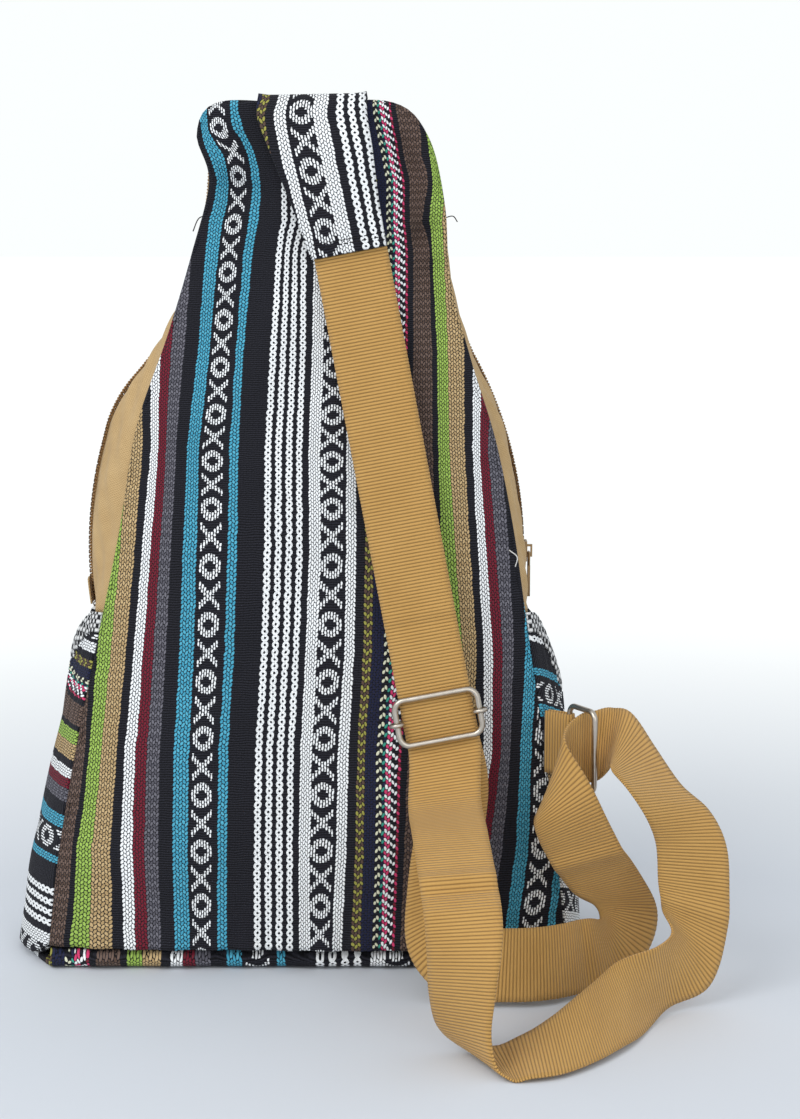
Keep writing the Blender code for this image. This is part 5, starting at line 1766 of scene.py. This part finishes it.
@dataclass
class Sewing:
    """Turned seam edges, stitches and loose threads."""

    shape: BagShape
    weave: Material
    stitch_shape: tuple = ((-0.36, -0.0003), (-0.24, 0.0002), (0.24, 0.0002), (0.36, -0.0003))
    zip_seams: tuple = (("tape", 0.0050, 0.0004), ("canvas", 0.0128, 0.0011))
    zip_stitch: float = 0.0026
    zip_thread: float = 0.00036
    base_seams: tuple = (("low", 0.0010, 0.0190), ("high", 0.0030, 0.0195))
    base_stitch: float = 0.0030
    base_lift: float = 0.0040

    def welt(self, name: str, line: Line, radius: float) -> None:
        """Build a turned seam edge along a line.

        Args:
            name: The piece's name.
            line: The seam, in the bag's own frame.
            radius: The edge's radius.
        """
        points = self.shape.world(resample(line, 260))
        piece = wire_piece(name, points, radius, False, self.weave, sides=2)
        mesh = piece.data
        if not mesh.uv_layers:
            mesh.uv_layers.new()
        layer = mesh.uv_layers[0]
        layer.name = "cloth"
        flow = StripeFlow()
        origin = self.shape.world([Vector()])[0]
        local = np.array([tuple(vertex.co - origin) for vertex in mesh.vertices])
        stripes = flow.stripe(local[:, 0], local[:, 2])
        for loop, corner in enumerate(mesh.loops):
            index = corner.vertex_index
            layer.data[loop].uv = (stripes[index], local[index, 2] + local[index, 1])
        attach(piece, "bag")

    def dashes(self, name: str, line: Line, outs: Line, pitch: float,
               material: Material, radius: float = 0.00028) -> None:
        """Build a row of stitches along a line.

        Args:
            name: The row's name.
            line: The points that it follows, in the scene.
            outs: The cloth's outward way at each point.
            pitch: The distance from stitch to stitch.
            material: The thread's material.
            radius: The thread's radius.
        """
        way = travelled(line)
        places = np.array([tuple(point) for point in line])
        faces = np.array([tuple(out) for out in outs])
        count = max(2, int(way[-1] / pitch))
        curve = bpy.data.curves.new(name, "CURVE")
        curve.dimensions = "3D"
        curve.bevel_depth = radius
        curve.bevel_resolution = 1
        curve.use_fill_caps = True
        for index in range(count):
            stitch = curve.splines.new("POLY")
            stitch.points.add(3)
            for point, (shift, lift) in zip(stitch.points, self.stitch_shape):
                distance = (index + 0.5 + shift) * way[-1] / count
                centre = Vector([np.interp(distance, way, places[:, axis]) for axis in range(3)])
                face = Vector([np.interp(distance, way, faces[:, axis]) for axis in range(3)]).normalized()
                point.co = (*(centre + face * lift), 1.0)
        piece = curve_piece(name, curve, material)
        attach(piece, "bag")

    def zip_rows(self, zipper: MainZip, thread: Material) -> None:
        """Sew the rows of stitches along both tapes and both canvas bands.

        Args:
            zipper: The zip that the rows follow.
            thread: The thread's material.
        """
        line = zipper.line()
        outs = zipper.outward(line)
        for word, sign in (("back", -1), ("front", 1)):
            for seam, reach, rise in self.zip_seams:
                shift = Vector((0.0, sign * (zipper.coil_width + reach), 0.0))
                row = self.shape.world([point + shift + out * rise for point, out in zip(line, outs)])
                self.dashes(f"{word}_{seam}_stitches", row, outs, self.zip_stitch, thread,
                            radius=self.zip_thread)

    def base_rows(self, strap: Strap, thread: Material) -> None:
        """Sew the two rows of stitches that hold the webbing under its woven base.

        Args:
            strap: The strap.
            thread: The thread's material.
        """
        across = strap.frame().col[0].to_3d()
        for word, rise, half in self.base_seams:
            lift = Vector((0.0, -self.base_lift, rise))
            ends = [strap.start + across * reach + lift for reach in (-half, half)]
            row = self.shape.world(resample(ends, 12))
            self.dashes(f"base_stitches_{word}", row, [Vector((0.0, -1.0, 0.0))] * 12, self.base_stitch,
                        thread)

    def loose(self, name: str, points: list[Point], material: Material) -> None:
        """Add one loose thread.

        Args:
            name: The thread's name.
            points: Its points in the scene.
            material: Its material.
        """
        piece = wire_piece(name, spline([Vector(p) for p in points], 6), 0.0003, False, material, sides=1)
        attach(piece, "bag")


@dataclass
class Studio:
    """The pale floor, the soft light and the camera."""

    eye: Point = (0.054, -1.200, 0.420)
    target: Point = (0.054, -0.050, 0.225)
    lens: float = 71.07
    spot: tuple[float, float] = (0.05, -0.25)
    fade: tuple[float, float] = (0.42, 1.15)
    paper: Colour = srgb(212, 216, 222)
    floor_size: float = 24.0
    floor_drop: float = 0.0005
    soften: float = 0.2
    white: tuple = (0.97, 1.0, 1.0, 1.0)
    room: tuple = (0.92, 0.96, 1.0, 1.0)
    room_strength: float = 0.85
    lit: Point = (0.0, 0.0, 0.22)
    lamps: tuple = (("key", (-1.2, -1.5, 1.7), 1.3, 22.0), ("front", (0.6, -2.2, 1.0), 1.6, 10.0))

    def build_camera(self) -> None:
        """Put the camera at the photograph's viewing angle."""
        data = bpy.data.cameras.new("photo_camera")
        data.lens = self.lens
        data.sensor_width = 36.0
        camera = bpy.data.objects.new("photo_camera", data)
        bpy.context.scene.collection.objects.link(camera)
        camera.location = self.eye
        way = Vector(self.target) - Vector(self.eye)
        camera.rotation_euler = way.to_track_quat("-Z", "Y").to_euler()
        bpy.context.scene.camera = camera

    def build_backdrop(self) -> None:
        """Build the flat floor, which turns white with the distance so that no horizon shows."""
        net = Network("pale_paper")
        place = net.tree.nodes.new("ShaderNodeSeparateXYZ")
        net.put(net.object_place(), place.inputs[0])
        x = net.minus(place.outputs[0], self.spot[0])
        y = net.minus(place.outputs[1], self.spot[1])
        away = net.math("SQRT", net.plus(net.times(x, x), net.times(y, y)))
        start, end = self.fade
        share = net.over(net.minus(away, start), end - start)
        share = net.math("SMOOTH_MIN", net.math("MAXIMUM", share, 0.0), 1.0, self.soften)
        rays = net.tree.nodes.new("ShaderNodeLightPath")
        seen = net.times(share, rays.outputs["Is Camera Ray"])
        paper = net.finish(net.mix(seen, self.paper, (0.0, 0.0, 0.0)), 0.9)
        net.shader.inputs["Emission Color"].default_value = self.white
        net.put(seen, net.shader.inputs["Emission Strength"])
        nothing_selected()
        bpy.ops.mesh.primitive_grid_add(x_subdivisions=2, y_subdivisions=2, size=self.floor_size)
        floor = bpy.context.object
        floor.name = "studio_floor"
        for vertex in floor.data.vertices:
            vertex.co.z = -self.floor_drop
        floor.data.materials.append(paper)

    def build_light(self) -> None:
        """Add the soft key from the upper left and a pale world."""
        world = bpy.data.worlds.new("pale_room")
        world.use_nodes = True
        background = world.node_tree.nodes["Background"]
        background.inputs[0].default_value = self.room
        background.inputs[1].default_value = self.room_strength
        tree = world.node_tree
        rays = tree.nodes.new("ShaderNodeLightPath")
        white = tree.nodes.new("ShaderNodeBackground")
        white.inputs[0].default_value = self.white
        either = tree.nodes.new("ShaderNodeMixShader")
        tree.links.new(rays.outputs["Is Camera Ray"], either.inputs[0])
        tree.links.new(background.outputs[0], either.inputs[1])
        tree.links.new(white.outputs[0], either.inputs[2])
        tree.links.new(either.outputs[0], tree.nodes["World Output"].inputs[0])
        bpy.context.scene.world = world
        for name, place, size, power in self.lamps:
            data = bpy.data.lights.new(name, "AREA")
            data.shape = "SQUARE"
            data.size = size
            data.energy = power
            lamp = bpy.data.objects.new(name, data)
            bpy.context.scene.collection.objects.link(lamp)
            lamp.location = place
            way = Vector(self.lit) - Vector(place)
            lamp.rotation_euler = way.to_track_quat("-Z", "Y").to_euler()


def main() -> None:
    """Build and dress the whole bag."""
    logging.basicConfig(level=logging.INFO, format="%(name)s: %(message)s")
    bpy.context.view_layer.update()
    bpy.context.scene.view_settings.view_transform = "Standard"
    studio = Studio()
    studio.build_camera()
    shape = BagShape()
    weave = StripedWeave().make()
    canvas = PlainCloth("beige_canvas", srgb(212, 182, 132), srgb(156, 122, 76), pitch=0.8).make()
    tape = PlainCloth("zip_tape_cloth", srgb(176, 138, 86), srgb(130, 98, 56), pitch=0.4).make()
    foam = PlainCloth("padding_foam", srgb(214, 212, 204), srgb(190, 186, 176), pitch=0.9).make()
    webbing = RibbedWebbing().make()
    elastic = ElasticHem().make()
    nickel = WireMetal("nickel_wire", srgb(206, 198, 186), srgb(170, 160, 146)).make()
    bronze = WireMetal("zip_bronze", srgb(176, 146, 108), srgb(120, 96, 66), 0.32).make()
    nylon = NylonCoil().make()
    dark = Thread("dark_thread", srgb(34, 32, 34)).make()
    white = Thread("white_thread", srgb(228, 226, 220)).make()
    brown = Thread("brown_thread", srgb(92, 66, 38)).make()

    strap = Strap(shape, webbing, weave)
    strap.build_webbing()
    strap.build_end_loop()
    strap.build_base()
    strap.build_ring_tab()
    LOG.info("strap: webbing, end loop, base and ring tab")
    panels = Panels(shape, weave)
    panels.build_back()
    panels.build_front()
    panels.build_padding(foam)
    panels.build_bottom()
    LOG.info("panels: back, front, padding and bottom")
    for side in (-1, 1):
        wall = SideWall(shape, side, weave, elastic)
        wall.build_gusset()
        wall.build_pocket()
        wall.build_hem()
        LOG.info("%s side: gusset, pocket and hem", wall.word)
    zipper = MainZip(shape, canvas, tape, nylon, bronze)
    zipper.build()
    hardware = Hardware(strap, nickel)
    hardware.build_buckle()
    hardware.build_ring()
    LOG.info("hardware: buckle, bar and ring")
    sewing = Sewing(shape, weave)
    sewing.welt("back_seam_edge", shape.back(0.0010), 0.0011)
    sewing.welt("front_seam_edge", shape.front(0.0010), 0.0011)
    sewing.zip_rows(zipper, brown)
    sewing.base_rows(strap, dark)
    sewing.loose("thread_side", [(0.1110, -0.062, 0.232), (0.1150, -0.066, 0.229), (0.1140, -0.067, 0.224)],
                 white)
    sewing.loose("thread_left", [(-0.044, -0.034, 0.404), (-0.051, -0.030, 0.403), (-0.0545, -0.030, 0.396)],
                 dark)
    sewing.loose("thread_right", [(0.0730, -0.034, 0.401), (0.0810, -0.034, 0.404), (0.0840, -0.033, 0.401)],
                 dark)
    LOG.info("sewing: seam edges and threads")
    studio.build_backdrop()
    studio.build_light()


if __name__ == "__main__":
    main()
